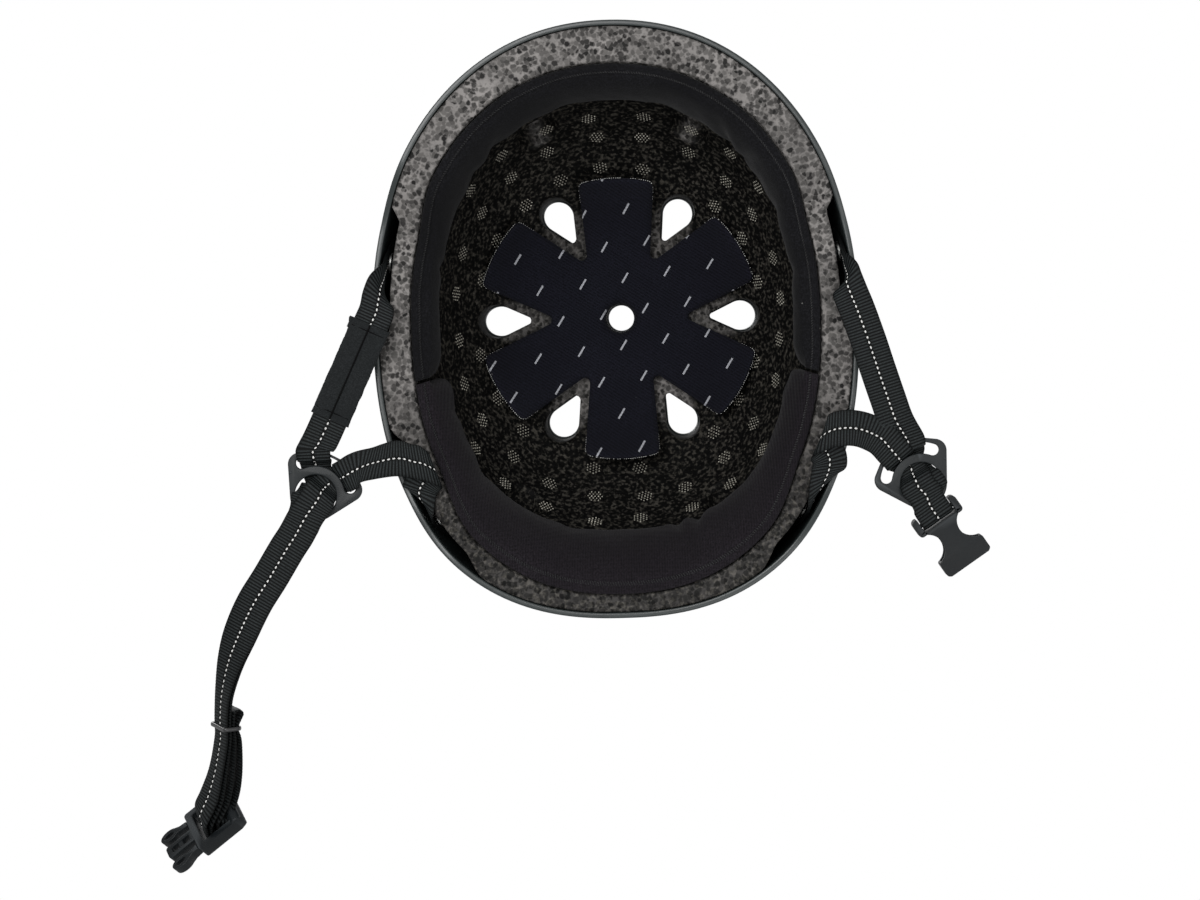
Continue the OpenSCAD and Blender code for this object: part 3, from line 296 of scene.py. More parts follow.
def addPart(verts, faces, part):
    base = len(verts)
    verts += part[0]
    faces += [tuple(base + k for k in face) for face in part[1]]


# faces between rings of points that lie one after another
def gridFaces(rows, cols, start=0, flip=False):
    faces = []
    for r in range(rows - 1):
        here = start + r * cols
        for c in range(cols):
            d = (c + 1) % cols
            quad = (here + c, here + d, here + cols + d, here + cols + c)
            faces.append(quad[::-1] if flip else quad)
    return faces


# faces that close the first and the last ring
def capFaces(rows, cols):
    last = (rows - 1) * cols
    return [tuple(range(cols))[::-1], tuple(last + c for c in range(cols))]


def sharpen(obj, angle=38):
    obj.data.set_sharp_from_angle(angle=rad(angle))


def applyAll(obj):
    graph = bpy.context.evaluated_depsgraph_get()
    mesh = bpy.data.meshes.new_from_object(obj.evaluated_get(graph))
    old = obj.data
    obj.modifiers.clear()
    obj.data = mesh
    bpy.data.meshes.remove(old)


def outward(bm):
    bmesh.ops.recalc_face_normals(bm, faces=bm.faces[:])
    if bm.calc_volume(signed=True) < 0:
        bmesh.ops.reverse_faces(bm, faces=bm.faces[:])


def turnOutward(obj):
    bm = bmesh.new()
    bm.from_mesh(obj.data)
    outward(bm)
    bm.to_mesh(obj.data)
    bm.free()
    return obj


def cutAway(obj, cutters):
    for cutter in cutters:
        mod = obj.modifiers.new("cut", "BOOLEAN")
        mod.operation, mod.solver, mod.object = "DIFFERENCE", "EXACT", cutter
    applyAll(obj)
    for cutter in cutters:
        bpy.data.objects.remove(cutter)


def unit(v):
    v = np.asarray(v, float)
    return v / np.linalg.norm(v, axis=-1, keepdims=True)


def easeIn(t):
    u = np.clip(t, 0, 1)
    return u * u * (3 - 2 * u)


def runAlong(points):
    return np.concatenate([[0], np.cumsum(np.linalg.norm(np.diff(points, axis=0), axis=1))])


# point between p1 and p2 on a smooth curve through all four
def through(p0, p1, p2, p3, t):
    bend = (2 * p0 - 5 * p1 + 4 * p2 - p3) + t * (3 * p1 - p0 - 3 * p2 + p3)
    return p1 + 0.5 * t * ((p2 - p0) + t * bend)


# closed outline with points no further apart than about a step
def denser(outline, step):
    dense = []
    for i in range(len(outline)):
        a, b = outline[i], outline[(i + 1) % len(outline)]
        n = max(1, int(np.linalg.norm(b - a) / step))
        dense += [a + (b - a) * k / n for k in range(n)]
    return np.array(dense)


# outline with rounded corners, from points of x, y and corner radius
def rounded(points, steps):
    out = []
    n = len(points)
    for i in range(n):
        p, r = np.array(points[i][:2], float), points[i][2]
        a = unit(np.array(points[i - 1][:2]) - p)
        b = unit(np.array(points[(i + 1) % n][:2]) - p)
        half = math.acos(max(-1, min(1, float(a @ b)))) / 2
        if r <= 0 or half > 1.55:
            out.append(p)
            continue
        back = r / math.tan(half)
        middle = p + unit(a + b) * r / math.sin(half)
        first, last = p + a * back - middle, p + b * back - middle
        turn = math.atan2(first[0] * last[1] - first[1] * last[0], float(first @ last))
        for k in range(steps + 1):
            t = turn * k / steps
            out.append(middle + np.array((first[0] * math.cos(t) - first[1] * math.sin(t),
                first[0] * math.sin(t) + first[1] * math.cos(t))))
    return np.array(out)


# flat plate with holes and rounded edges, built about z = 0
def plate(name, outlines, thick, bevel, mat, segments=3):
    bm = bmesh.new()
    edges = []
    for outline in outlines:
        verts = [bm.verts.new((x * mm, y * mm, -thick / 2 * mm)) for x, y in outline]
        edges += [bm.edges.new((verts[i], verts[(i + 1) % len(verts)])) for i in range(len(verts))]
    bmesh.ops.triangle_fill(bm, use_beauty=True, use_dissolve=False, edges=edges, normal=(0, 0, 1))
    bmesh.ops.dissolve_limit(bm, angle_limit=0.01, verts=bm.verts[:], edges=bm.edges[:])
    made = bmesh.ops.extrude_face_region(bm, geom=bm.faces[:])
    upper = [v for v in made["geom"] if isinstance(v, bmesh.types.BMVert)]
    bmesh.ops.translate(bm, vec=(0, 0, thick * mm), verts=upper)
    outward(bm)
    mesh = bpy.data.meshes.new(name)
    bm.to_mesh(mesh)
    bm.free()
    mesh.materials.append(mat)
    obj = addObject(name, mesh)
    mod = obj.modifiers.new("soft edges", "BEVEL")
    mod.width, mod.segments = bevel * mm, segments
    mod.limit_method, mod.angle_limit = "ANGLE", rad(50)
    mod.harden_normals = False
    applyAll(obj)
    obj.data.polygons.foreach_set("use_smooth", [True] * len(obj.data.polygons))
    sharpen(obj, 50)
    return obj


def placed(obj, origin, ex, ey, ez):
    rot = Matrix((ex, ey, ez)).transposed().to_4x4()
    obj.data.transform(Matrix.Translation(Vector(origin) * mm) @ rot)
    obj.data.update()


def joined(name, pieces):
    bm = bmesh.new()
    mats = []
    for piece in pieces:
        base = len(bm.faces)
        bm.from_mesh(piece.data)
        bm.faces.ensure_lookup_table()
        for f in bm.faces[base:]:
            mat = piece.data.materials[f.material_index] if piece.data.materials else None
            if mat not in mats:
                mats.append(mat)
            f.material_index = mats.index(mat)
    mesh = bpy.data.meshes.new(name)
    bm.to_mesh(mesh)
    bm.free()
    for mat in mats:
        mesh.materials.append(mat)
    for piece in pieces:
        bpy.data.objects.remove(piece)
    obj = addObject(name, mesh)
    mesh.polygons.foreach_set("use_smooth", [True] * len(mesh.polygons))
    sharpen(obj, 50)
    return obj


# round tube along points, with capped ends
def tube(name, points, radius, mat, sides):
    points = np.asarray(points, float)
    n = len(points)
    ahead = np.roll(points, -1, 0) - np.roll(points, 1, 0)
    ahead[0], ahead[-1] = points[1] - points[0], points[-1] - points[-2]
    ahead = unit(ahead)
    side = np.cross(ahead[0], (0.31, 0.2, 0.93))
    out = []
    for k in range(n):
        side = unit(side - ahead[k] * (side @ ahead[k]))
        other = np.cross(ahead[k], side)
        a = np.arange(sides) * 2 * math.pi / sides
        out.append(points[k] + radius * (np.cos(a)[:, None] * side + np.sin(a)[:, None] * other))
    verts = np.vstack(out)
    return makeMesh(name, verts, gridFaces(n, sides) + capFaces(n, sides), mat)


# helmet form, with the same measures as the frame
form = {"halfW": 109, "halfL": 133, "high": 150, "wall": 2.4, "earRise": 11, "frontN": 2.14, "rearN": 2.4,
    "sideN": 2.3, "belly": 0.012, "bellyTop": 78, "linerGap": 0.3, "recess": 1.2, "foamFront": 19.6,
    "foamSide": 14.6, "foamRear": 19.6, "foamCrown": 22.6, "flareFront": 4, "flareSide": 3.5,
    "flareRear": 13.8, "flareTop": 34, "pocketDeep": 5.4, "pocketTop": 44, "ventCount": 6, "ventR": 7.4,
    "ventAt": 60.5, "ventRun": 13.5, "tipR": 1.5, "centreVent": 6.5, "roundVent": 9, "foamExtra": 0.9,
    "browVent": 22, "napeVent": 29, "roundVentZ": 68, "tilt": 18, "ventOut": 105, "ear": (-76, 34, 108, 34),
    "pocketFront": (61.5, 3, 97, 7), "pocketRear": (114, 6, 152, 7)}
# where the rims start above the rim line, and how round the edges of rims and vents are
rims = {"shellRim": 0.7, "shellBend": 0.9, "foamLift": 0.8, "foamBend": 1.6, "shellEase": 0.8,
    "foamEase": 2.0, "hookLift": 1.5}
shellTop = form["high"] - form["wall"]
bowlTop = shellTop - form["foamCrown"]
foamTop = shellTop - form["linerGap"]
foamRim = form["recess"] + rims["foamLift"]
bowlN = 2.2


def outlineAt(a, halfW, halfL):
    n = np.where(np.sin(a) < 0, form["frontN"], form["rearN"])
    return (np.abs(np.cos(a) / halfW) ** n + np.abs(np.sin(a) / halfL) ** n) ** (-1 / n)


def share(z, high, n):
    return np.maximum(0, 1 - (np.clip(z, 0, high) / high) ** n) ** (1 / n)


def swell(z):
    return 1 + form["belly"] * np.sin(np.pi * np.clip(z / form["bellyTop"], 0, 1))


# 1 between two ends and 0 outside them, each end with its own ease
def between(value, ends):
    return easeIn((value - ends[0]) / ends[1]) * easeIn((ends[2] - value) / ends[3])


def rimZ(a):
    y = np.sin(a) * outlineAt(a, form["halfW"], form["halfL"])
    return form["earRise"] * between(y, form["ear"])


def pocket(a, z):
    side = np.abs((np.degrees(a) + 270) % 360 - 180)
    front, rear = between(side, form["pocketFront"]), between(side, form["pocketRear"])
    deep = form["pocketDeep"] - form["linerGap"]
    return deep * np.maximum(front, rear) * easeIn((form["pocketTop"] - z) / 8)


def domeR(a, z, inset):
    wide = outlineAt(a, form["halfW"] - inset, form["halfL"] - inset)
    return wide * share(z, form["high"] - inset, form["sideN"]) * swell(z)


def bowlFlare(a):
    s = np.sin(a)
    return form["flareSide"] + np.where(s < 0, (form["flareFront"] - form["flareSide"]) * s ** 2,
        (form["flareRear"] - form["flareSide"]) * s ** 4)


def bowlR(a, z):
    halfW = form["halfW"] - form["wall"] - form["foamSide"]
    halfL = form["halfL"] - form["wall"] - np.where(np.sin(a) < 0, form["foamFront"], form["foamRear"])
    flare = bowlFlare(a) * np.maximum(0, 1 - z / form["flareTop"]) ** 2
    return outlineAt(a, halfW, halfL) * share(z, bowlTop, bowlN) + flare


def polar(r, a, z):
    return np.stack([r * np.cos(a), r * np.sin(a), z + 0 * a], -1)


# shell or liner: cross-sections all round, from the inside up one wall, round the rim and up the other
def domeMesh(name, around, inner, outer, rim, top, mat):
    a = (np.arange(around) + 0.37) * 2 * math.pi / around
    rows = [r(a) for r in inner[::-1]] + [r(a) for r in rim] + [r(a) for r in outer]
    verts = np.vstack(rows + [np.array([[0, 0, top[0]], [0, 0, top[1]]])])
    n = len(rows)
    faces = gridFaces(n, around)
    last = n * around
    faces += [((c + 1) % around, c, last) for c in range(around)]
    faces += [((n - 1) * around + c, (n - 1) * around + (c + 1) % around, last + 1) for c in range(around)]
    return makeMesh(name, verts, faces, mat)


def wallRows(count, high, n, rim, radius):
    def row(j):
        def at(a):
            low = rimZ(a) + rim
            z = low + (high - low) * math.sin(math.pi / 2 * j / count) ** (2 / n)
            return polar(radius(a, z), a, z)
        return at
    return [row(j) for j in range(count)]


# the rim's rows, t from 0 to 1 round the inner edge, to 2 across and to 3 round the outer edge
def rimRows(rim, inside, outside, bend, flatSteps):
    drop = 0.55 * bend

    def row(t):
        def at(a):
            low = rimZ(a) + rim
            r0, r1 = inside(a, low), outside(a, low)
            if t <= 1:
                turn = t * math.pi / 2
                return polar(r0 + bend * (1 - math.cos(turn)), a, low - drop * math.sin(turn))
            if t >= 2:
                turn = (3 - t) * math.pi / 2
                return polar(r1 - bend * (1 - math.cos(turn)), a, low - drop * math.sin(turn))
            return polar(r0 + bend + (r1 - r0 - 2 * bend) * (t - 1), a, low - drop)
        return at

    steps = [k / 4 for k in range(1, 5)] + [1 + k / flatSteps for k in range(1, flatSteps)]
    steps += [2 + k / 4 for k in range(4)]
    return [row(t) for t in steps]


# how far along a direction the points reach a wall of the dome
def reach(points, way, radius, low, high):
    a, b = np.full(len(points), float(low)), np.full(len(points), float(high))
    for _ in range(44):
        m = (a + b) / 2
        p = points + m[:, None] * way
        inside = np.hypot(p[:, 0], p[:, 1]) < radius(np.arctan2(p[:, 1], p[:, 0]), p[:, 2])
        a, b = np.where(inside, m, a), np.where(inside, b, m)
    return a


# cutter for a vent, its rim opening out where it meets each wall, and running on past a missing second wall
def ventCutter(name, outline, origin, ex, ey, way, walls, low, high, ease):
    outline = np.asarray(outline, float)
    step = np.roll(outline, -1, 0) - np.roll(outline, 1, 0)
    out = unit(np.stack([step[:, 1], -step[:, 0]], -1))
    if (out * (outline - outline.mean(0))).sum() < 0:
        out = -out
    ex, ey, way, origin = (np.asarray(v, float) for v in (ex, ey, way, origin))
    rings = []
    curve = [rad(d) for d in (0, 18, 36, 54, 72)]

    def ring(spread, wall, offset):
        flat = outline + out * spread
        base = origin + flat[:, :1] * ex + flat[:, 1:] * ey
        t = reach(base, way, wall, low, high) + offset
        return base + t[:, None] * way

    e = ease
    first, second = walls
    rings.append(ring(e * 1.25, first, -3.0))
    rings += [ring(e * (1 - math.cos(c)), first, e * (1 - math.sin(c))) for c in curve[::-1]]
    e = min(ease, 0.7)
    if second is None:
        rings.append(rings[-1] + way * 60)
    else:
        rings += [ring(e * (1 - math.cos(c)), second, -e * (1 - math.sin(c))) for c in curve]
        rings.append(ring(e * 1.25, second, 3.0))
    faces = gridFaces(len(rings), len(outline)) + capFaces(len(rings), len(outline))
    return turnOutward(makeMesh(name, np.vstack(rings), faces))


def dropOutline(extra):
    r, tip = form["ventR"] + extra, form["tipR"] + extra
    b = math.pi - math.acos((r - tip) / form["ventRun"])
    big = [(r * math.cos(t), r * math.sin(t)) for t in np.linspace(-b, b, 40)]
    small = [(-form["ventRun"] + tip * math.cos(t), tip * math.sin(t))
        for t in np.linspace(b, 2 * math.pi - b, 12)]

    def straight(a, b):
        return [(a[0] + (b[0] - a[0]) * k / 6, a[1] + (b[1] - a[1]) * k / 6) for k in range(1, 6)]

    return big + straight(big[-1], small[0]) + small + straight(small[-1], big[0])


def circleOutline(r, steps=48):
    turns = [2 * math.pi * k / steps for k in range(steps)]
    return [(r * math.cos(t), r * math.sin(t)) for t in turns]


# a round side vent's origin, its two directions across and its way out
def ventAxis(deg):
    c, s = math.cos(rad(deg)), math.sin(rad(deg))
    tc, ts = math.cos(rad(form["tilt"])), math.sin(rad(form["tilt"]))
    base = form["roundVentZ"] - form["ventOut"] * math.tan(rad(form["tilt"]))
    return (0, 0, base), (-s, c, 0), (-ts * c, -ts * s, tc), (tc * c, tc * s, ts)


def ventCutters(extra, walls, ease):
    made = []
    for k in range(form["ventCount"]):
        turn = 2 * math.pi * k / form["ventCount"]
        c, s = math.cos(turn), math.sin(turn)
        made.append(ventCutter("cutter", dropOutline(extra), (form["ventAt"] * c, form["ventAt"] * s, 0),
            (c, s, 0), (-s, c, 0), (0, 0, 1), walls, 60, 150, ease))
    made.append(ventCutter("cutter", circleOutline(form["centreVent"] + extra), (0, 0, 0), (1, 0, 0),
        (0, 1, 0), (0, 0, 1), walls, 60, 150, ease))
    for deg in (270 - form["browVent"], 270 + form["browVent"], 90 - form["napeVent"], 90 + form["napeVent"]):
        made.append(ventCutter("cutter", circleOutline(form["roundVent"] + extra), *ventAxis(deg),
            walls, 55, 160, ease))
    return made


print("making the shell and the foam")


def shellIn(a, z):
    return domeR(a, z, form["wall"])


def shellOut(a, z):
    return domeR(a, z, 0)


def foamOut(a, z):
    return domeR(a, z, form["wall"] + form["linerGap"]) - pocket(a, z)


shellSkin = domeMesh("shellSkin", 240, wallRows(46, shellTop, form["sideN"], rims["shellRim"], shellIn),
    wallRows(46, form["high"], form["sideN"], rims["shellRim"], shellOut),
    rimRows(rims["shellRim"], shellIn, shellOut, rims["shellBend"], 2), (shellTop, form["high"]), shellMat)
cutAway(shellSkin, ventCutters(0, (shellIn, shellOut), rims["shellEase"]))
sharpen(shellSkin)
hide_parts("shell")
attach(shellSkin, "helmet")

foamSkin = domeMesh("foamSkin", 300, wallRows(64, bowlTop, bowlN, foamRim, bowlR),
    wallRows(24, foamTop, form["sideN"], foamRim, foamOut),
    rimRows(foamRim, bowlR, foamOut, rims["foamBend"], 8), (bowlTop, foamTop), foamMat)
cutAway(foamSkin, ventCutters(form["foamExtra"], (bowlR, None), rims["foamEase"]))
sharpen(foamSkin)


# degrees off the middle of the nearest crown vent
def offVent(a):
    return np.abs((np.degrees(a) + 30) % 60 - 30)


# paler foam painted as sheen on the smooth rim and in the notches between the crown pad's petals, with
# painted shade on the rear rim and painted glints beside the brow vents
def paintFoam(obj):
    co = np.zeros(len(obj.data.vertices) * 3, np.float32)
    obj.data.vertices.foreach_get("co", co)
    p = co.reshape(-1, 3) / mm
    a, r = np.arctan2(p[:, 1], p[:, 0]), np.hypot(p[:, 0], p[:, 1])
    # the rim is painted pale as sheen, and darker towards the rear as painted shade
    rim = (1 - easeIn((p[:, 2] - rimZ(a) - 5) / 6)) * (1 - 0.8 * easeIn((np.sin(a) - 0.2) / 0.6))
    wide = np.radians(offVent(a)) * r
    # the notches are painted pale as sheen, more so towards the rear as painted light
    notch = easeIn((11 - wide) / 3) * easeIn((62 - r) / 8) * (p[:, 2] > 80)
    notch = notch * (0.45 + 0.35 * easeIn(np.sin(a) + 0.2))
    brow = np.zeros(len(p))
    # a painted glint on the wall of each brow vent, where light coming through the vent falls
    for deg in (270 - form["browVent"], 270 + form["browVent"]):
        base, ex, ey, way = ventAxis(deg)
        q = p - np.array(base)
        d = np.linalg.norm(q - (q @ np.array(way))[:, None] * np.array(way), axis=1)
        off, across = (d - form["roundVent"] - 1) / 1.3, q @ np.array(ex) / 3.2
        near = np.exp(-off ** 2 - across ** 2) * (np.sin(a) < 0)
        brow = np.maximum(brow, 0.8 * near * (q @ np.array(ey) > 0))
    value = np.maximum(np.maximum(rim, notch), brow).astype(np.float32)
    layer = obj.data.attributes.new("foamSheenAndShade", "FLOAT", "POINT")
    layer.data.foreach_set("value", value)


paintFoam(foamSkin)
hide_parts("liner")
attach(foamSkin, "helmet")


def bowlPoint(a, z):
    return polar(bowlR(a, z), a, z)


# a point of the bowl's wall, with its directions round, up the wall and into the foam
def bowlFrame(a, z):
    p = bowlPoint(a, z)
    t, b = unit(bowlPoint(a + 0.01, z) - p), unit(bowlPoint(a, z - 0.5) - p)
    n = unit(np.cross(t, b))
    if n @ p[:3] > 0:
        n = -n
    return p, t, np.cross(n, t), n


# low rounded bead, given its middle, its outward way n and its two directions across
def bead(center, n, t, b, long, wide, high, sides):
    ring = [(math.cos(2 * math.pi * k / sides), math.sin(2 * math.pi * k / sides)) for k in range(sides)]
    verts = [center + t * x * long + b * y * wide - n * 0.05 for x, y in ring]
    verts += [center + t * x * long * 0.66 + b * y * wide * 0.66 + n * high * 0.75 for x, y in ring]
    verts.append(center + n * high)
    faces = [(k, (k + 1) % sides, sides + (k + 1) % sides, sides + k) for k in range(sides)]
    faces += [(sides + k, sides + (k + 1) % sides, 2 * sides) for k in range(sides)]
    return verts, faces


# rosettes of small moulded pips on the rough part of the bowl, in rounder rings than the bowl's own, coloured
# pale as painted glints
pips = {"rings": [(63, 67, 22, 2), (72, 80.5, 24, -6), (82, 90, 26, 1)], "size": 0.42,
    "pitch": 1.68, "high": 0.5}


# height on the bowl's wall where the camera sees a given radius
def onBowl(a, seen):
    low, high = 5.0, bowlTop
    for _ in range(40):
        z = (low + high) / 2
        r = bowlR(a, z) / (1 + z * mm / view["distance"])
        low, high = (z, high) if r > seen else (low, z)
    return z


def makePips():
    verts, faces = [], []
    rand = np.random.default_rng(7)
    spots = [(u + v / 2, v * math.sqrt(0.75)) for u in range(-2, 3) for v in range(-2, 3) if abs(u + v) <= 2]
    for ring, (side, end, count, turn) in enumerate(pips["rings"]):
        for k in range(count):
            a = rad(360 * k / count + turn + rand.uniform(-1.2, 1.2))
            if ring == 2 and abs(math.sin(a)) < 0.5:
                continue
            z = onBowl(a, side + (end - side) * abs(math.sin(a)) ** 1.5 + rand.uniform(-1, 1))
            p, t, b, n = bowlFrame(a, z)
            if math.hypot(p[0], p[1]) < 77 and offVent(a) < 8:
                continue
            w = rand.uniform(0, 6)
            c, s = math.cos(w) * pips["pitch"], math.sin(w) * pips["pitch"]
            for u, v in spots:
                spot = p + t * (u * c - v * s) + b * (u * s + v * c)
                addPart(verts, faces, bead(spot, n, t, b, pips["size"], pips["size"], pips["high"], 6))
    return makeMesh("foamPips", verts, faces, pipGlintMat)


foamPips = makePips()
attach(foamPips, "helmet")
print("making the pads")

# brow pad and nape pad, cloth over foam
padForm = {"gap": 0.6, "thick": 9.4, "frontHigh": 36, "rearHigh": 50, "frontA": 106,
    "endGap": 1.6, "lip": 3.5}


def closedCurve(points, steps):
    p = np.asarray(points, float)
    n = len(p)
    out = []
    for i in range(n):
        p0, p1, p2, p3 = p[i - 1], p[i], p[(i + 1) % n], p[(i + 2) % n]
        out += [through(p0, p1, p2, p3, k / steps) for k in range(steps)]
    return np.array(out)


# closed section of a pad at one angle: points, their distance off the bowl and their level from 0 to 1
def padSection(a, top, thick, roll, steps):
    low = float(rimZ(a)) + foamRim
    rise = top - low
    g = padForm["gap"]
    lip = padForm["lip"] + g
    marks = [(low + 0.3, g + 0.2), (low, lip - 0.6), (low + 0.7, lip + 0.2), (low + 2.2, lip + 0.6),
        (low + 3.2, lip + 2.4), (low + 0.2 * rise, g + thick * 0.86 * roll),
        (low + 0.42 * rise, g + thick * roll), (low + 0.64 * rise, g + thick * 0.97 * roll),
        (low + 0.85 * rise, g + thick * 0.78), (low + 0.96 * rise, g + thick * 0.44), (top, g + 1.0),
        (top - 0.8, g), (low + 0.6 * rise, g), (low + 0.3 * rise, g)]
    curve = closedCurve(marks, steps)
    z, depth = curve[:, 0], np.maximum(curve[:, 1], g)
    aa = np.full(len(z), a)
    return polar(bowlR(aa, z) - depth, aa, z), depth, (z - low) / rise


def padBand(name, middle, halfA, top, thick, count, folds, mat, roll):
    rows = []
    for k in range(count + 1):
        u = k / count
        a = rad(middle + halfA * (2 * u - 1))
        near = min(u, 1 - u) / 0.035
        ends = 0.3 + 0.7 * math.sqrt(max(0, 1 - (1 - min(1, near)) ** 2))
        low = float(rimZ(a)) + foamRim
        high = low + (top(math.degrees(a)) - low) * (0.8 + 0.2 * ends)
        pts, depth, level = padSection(a, high, thick * ends, roll(u), 4)
        # soft folds run down the pad, and the foam under the cloth is a little uneven
        front = np.clip((depth - 2.5) / 4, 0, 1)
        push = np.zeros(len(pts))
        for at, deep, wide, slant in folds:
            d = (math.degrees(a) - at + slant * (level - 0.5)) / wide
            push -= deep * np.exp(-d * d) * np.clip(level * 1.5 - 0.1, 0, 1)
            push += 0.45 * deep * (np.exp(-(d - 1.9) ** 2) + np.exp(-(d + 1.9) ** 2)) * np.clip(level, 0, 1)
        for i, q in enumerate(pts):
            push[i] += 0.5 * noise.noise(Vector(q) * 0.06) + 0.22 * noise.noise(Vector(q) * 0.22)
        inward = -unit(pts * np.array([1, 1, 0.0]))
        rows.append(pts + inward * (push * front)[:, None])
    m = len(rows[0])
    verts = np.vstack(rows)
    faces = gridFaces(len(rows), m)
    ends = [verts[:m].mean(0), verts[-m:].mean(0)]
    verts = np.vstack([verts, ends])
    first, last = len(verts) - 2, (len(rows) - 1) * m
    faces += [((c + 1) % m, c, first) for c in range(m)]
    faces += [(last + c, last + (c + 1) % m, first + 1) for c in range(m)]
    return turnOutward(makeMesh(name, verts, faces, mat)), rows


# folds as angle, depth, width in degrees and slant
frontFolds = [(199, 1.0, 2.2, 6), (226, 1.3, 3, -4), (238, 1.6, 3.2, 8), (258, 0.7, 3, 0), (285, 0.8, 3.4, 3),
    (302, 1.8, 2.6, -9), (311, 1.4, 2.2, 6), (326, 1.0, 3, -5), (347, 0.9, 3, 4)]
rearFolds = [(22, 1.0, 2.5, 4), (71, 2.0, 1.6, 5), (74, 1.2, 1.2, -3), (104, 0.8, 3, 2), (131, 1.0, 3, -4),
    (153, 0.8, 2.5, 3)]


def wavy(a):
    return 0.9 * math.sin(rad(a * 7)) + 0.5 * math.sin(rad(a * 13 + 40))


frontPad, frontRows = padBand("browPad", 270, padForm["frontA"],
    lambda a: padForm["frontHigh"] + 0.6 * wavy(a), padForm["thick"], 260, frontFolds, browMat,
    lambda u: 1 - 0.05 * math.cos(math.pi * 7 * u) ** 2)
rearHalf = 180 - padForm["frontA"] - padForm["endGap"] / form["halfW"] * 60
rearPad, rearRows = padBand("napePad", 90, rearHalf, lambda a: padForm["rearHigh"] + 0.4 * wavy(a),
    padForm["thick"], 200, rearFolds, napeMat, lambda u: 1 - 0.05 * math.cos(math.pi * 2 * u) ** 2)
for pad, node, slotName in ((frontPad, "front_pad", "brow_cloth"), (rearPad, "rear_pad", "nape_cloth")):
    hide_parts(node)
    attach(pad, "helmet")


# overlocked edge: short threads wrapped over the edge of the pad
def edgeThreads(name, rows, first, last, pitch, radius, mat):
    paths = np.array([[row[i] for i in range(first, last)] for row in rows])
    run = runAlong(paths[:, 0])
    verts, faces = [], []
    sides = 5
    for s in np.arange(pitch, run[-1] - pitch, pitch):
        k = min(len(run) - 2, int(np.searchsorted(run, s) - 1))
        t = (s - run[k]) / (run[k + 1] - run[k])
        path = paths[k] * (1 - t) + paths[k + 1] * t
        ahead = unit(paths[k + 1][0] - paths[k][0])
        path = path + ahead * np.linspace(-0.35, 0.35, len(path))[:, None]
        base = len(verts)
        for j in range(len(path)):
            d = unit(path[min(j + 1, len(path) - 1)] - path[max(j - 1, 0)])
            side = unit(np.cross(d, ahead))
            other = np.cross(d, side)
            for c in range(sides):
                w = 2 * math.pi * c / sides
                verts.append(path[j] + side * radius * math.cos(w) + other * radius * math.sin(w) * 1.2)
        faces += gridFaces(len(path), sides, base)
    return makeMesh(name, verts, faces, mat)


for name, rows, first, last, body in (("napeTopThreads", rearRows, 35, 42, "helmet"),
        ("napeLowThreads", rearRows, 6, 12, "helmet"), ("browLowThreads", frontRows, 6, 11, "helmet")):
    piece = edgeThreads(name, rows, first, last, 1.15, 0.2, threadMat)
    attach(piece, body)


# crown pad with six petals
crown = {"gap": 0.6, "thick": 5, "radius": 68.5, "halfW": 15.6, "flare": 3.2, "flareFrom": 34,
    "flareOver": 40, "rootR": 2.6, "tipR": 3.2, "hole": 7.1, "edge": 3.2}


def crownZ(r):
    wide = bowlR(0, 0) - bowlFlare(0)
    return bowlTop * np.maximum(0, 1 - (r / wide) ** bowlN) ** (1 / bowlN)


def petalOutline():
    end, root = crown["radius"], crown["halfW"]
    tip = root + crown["flare"] * (end - crown["flareFrom"]) / crown["flareOver"]
    arc = math.asin(tip / end)
    shoulder = end * math.cos(arc)
    petal = [(2 * root * math.cos(rad(30)), -root, crown["rootR"]), (shoulder, -tip, crown["tipR"])]
    petal += [(end * math.cos(t), end * math.sin(t), 0) for t in np.linspace(-arc, arc, 14)[2:-2]]
    petal.append((shoulder, tip, crown["tipR"]))
    pts = []
    for k in range(6):
        turn = rad(60 * (k + 0.5))
        c, s = math.cos(turn), math.sin(turn)
        pts += [(x * c - y * s, x * s + y * c, r) for x, y, r in petal]
    return rounded(pts, 7)


def makeCrownPad():
    outline = denser(petalOutline(), 1.1)
    angle = np.arctan2(outline[:, 1], outline[:, 0])
    centre = np.stack([np.cos(angle), np.sin(angle)], -1) * crown["hole"]
    levels = 1 - (1 - np.linspace(0, 1, 34)) ** 1.35
    rows, depths = [], []
    for s in levels:
        flat = centre + (outline - centre) * s
        gap = np.sqrt(((flat[:, None] - outline[None]) ** 2).sum(-1)).min(1)
        gap = np.minimum(gap, np.hypot(flat[:, 0], flat[:, 1]) - crown["hole"])
        soft = np.sqrt(np.maximum(0, 1 - (1 - np.clip(gap / crown["edge"], 0, 1)) ** 2))
        rows.append(flat)
        depths.append(crown["thick"] * (0.18 + 0.82 * soft))
    m = len(outline)
    under, over = [], []
    for flat, depth in zip(rows, depths):
        z = crownZ(np.hypot(flat[:, 0], flat[:, 1]))
        puff = np.array([0.35 * noise.noise(Vector((x, y, 0)) * 0.07) for x, y in flat])
        under.append(np.stack([flat[:, 0], flat[:, 1], z - crown["gap"] - depth - puff * (depth > 4)], -1))
        over.append(np.stack([flat[:, 0], flat[:, 1], z - crown["gap"]], -1))
    verts = np.vstack(under + over[::-1])
    n = 2 * len(rows)
    last = (n - 1) * m
    faces = gridFaces(n, m, flip=True)
    faces += [(last + c, c, (c + 1) % m, last + (c + 1) % m) for c in range(m)]
    return turnOutward(makeMesh("crownPad", verts, faces)), outline


# navy-black twill with a plain scatter of short pale bars
ticks = {"turn": 58, "across": 0.0215, "down": 0.0165, "long": 0.0058, "wide": 0.0009,
    "color": (0.5, 0.51, 0.55, 1)}


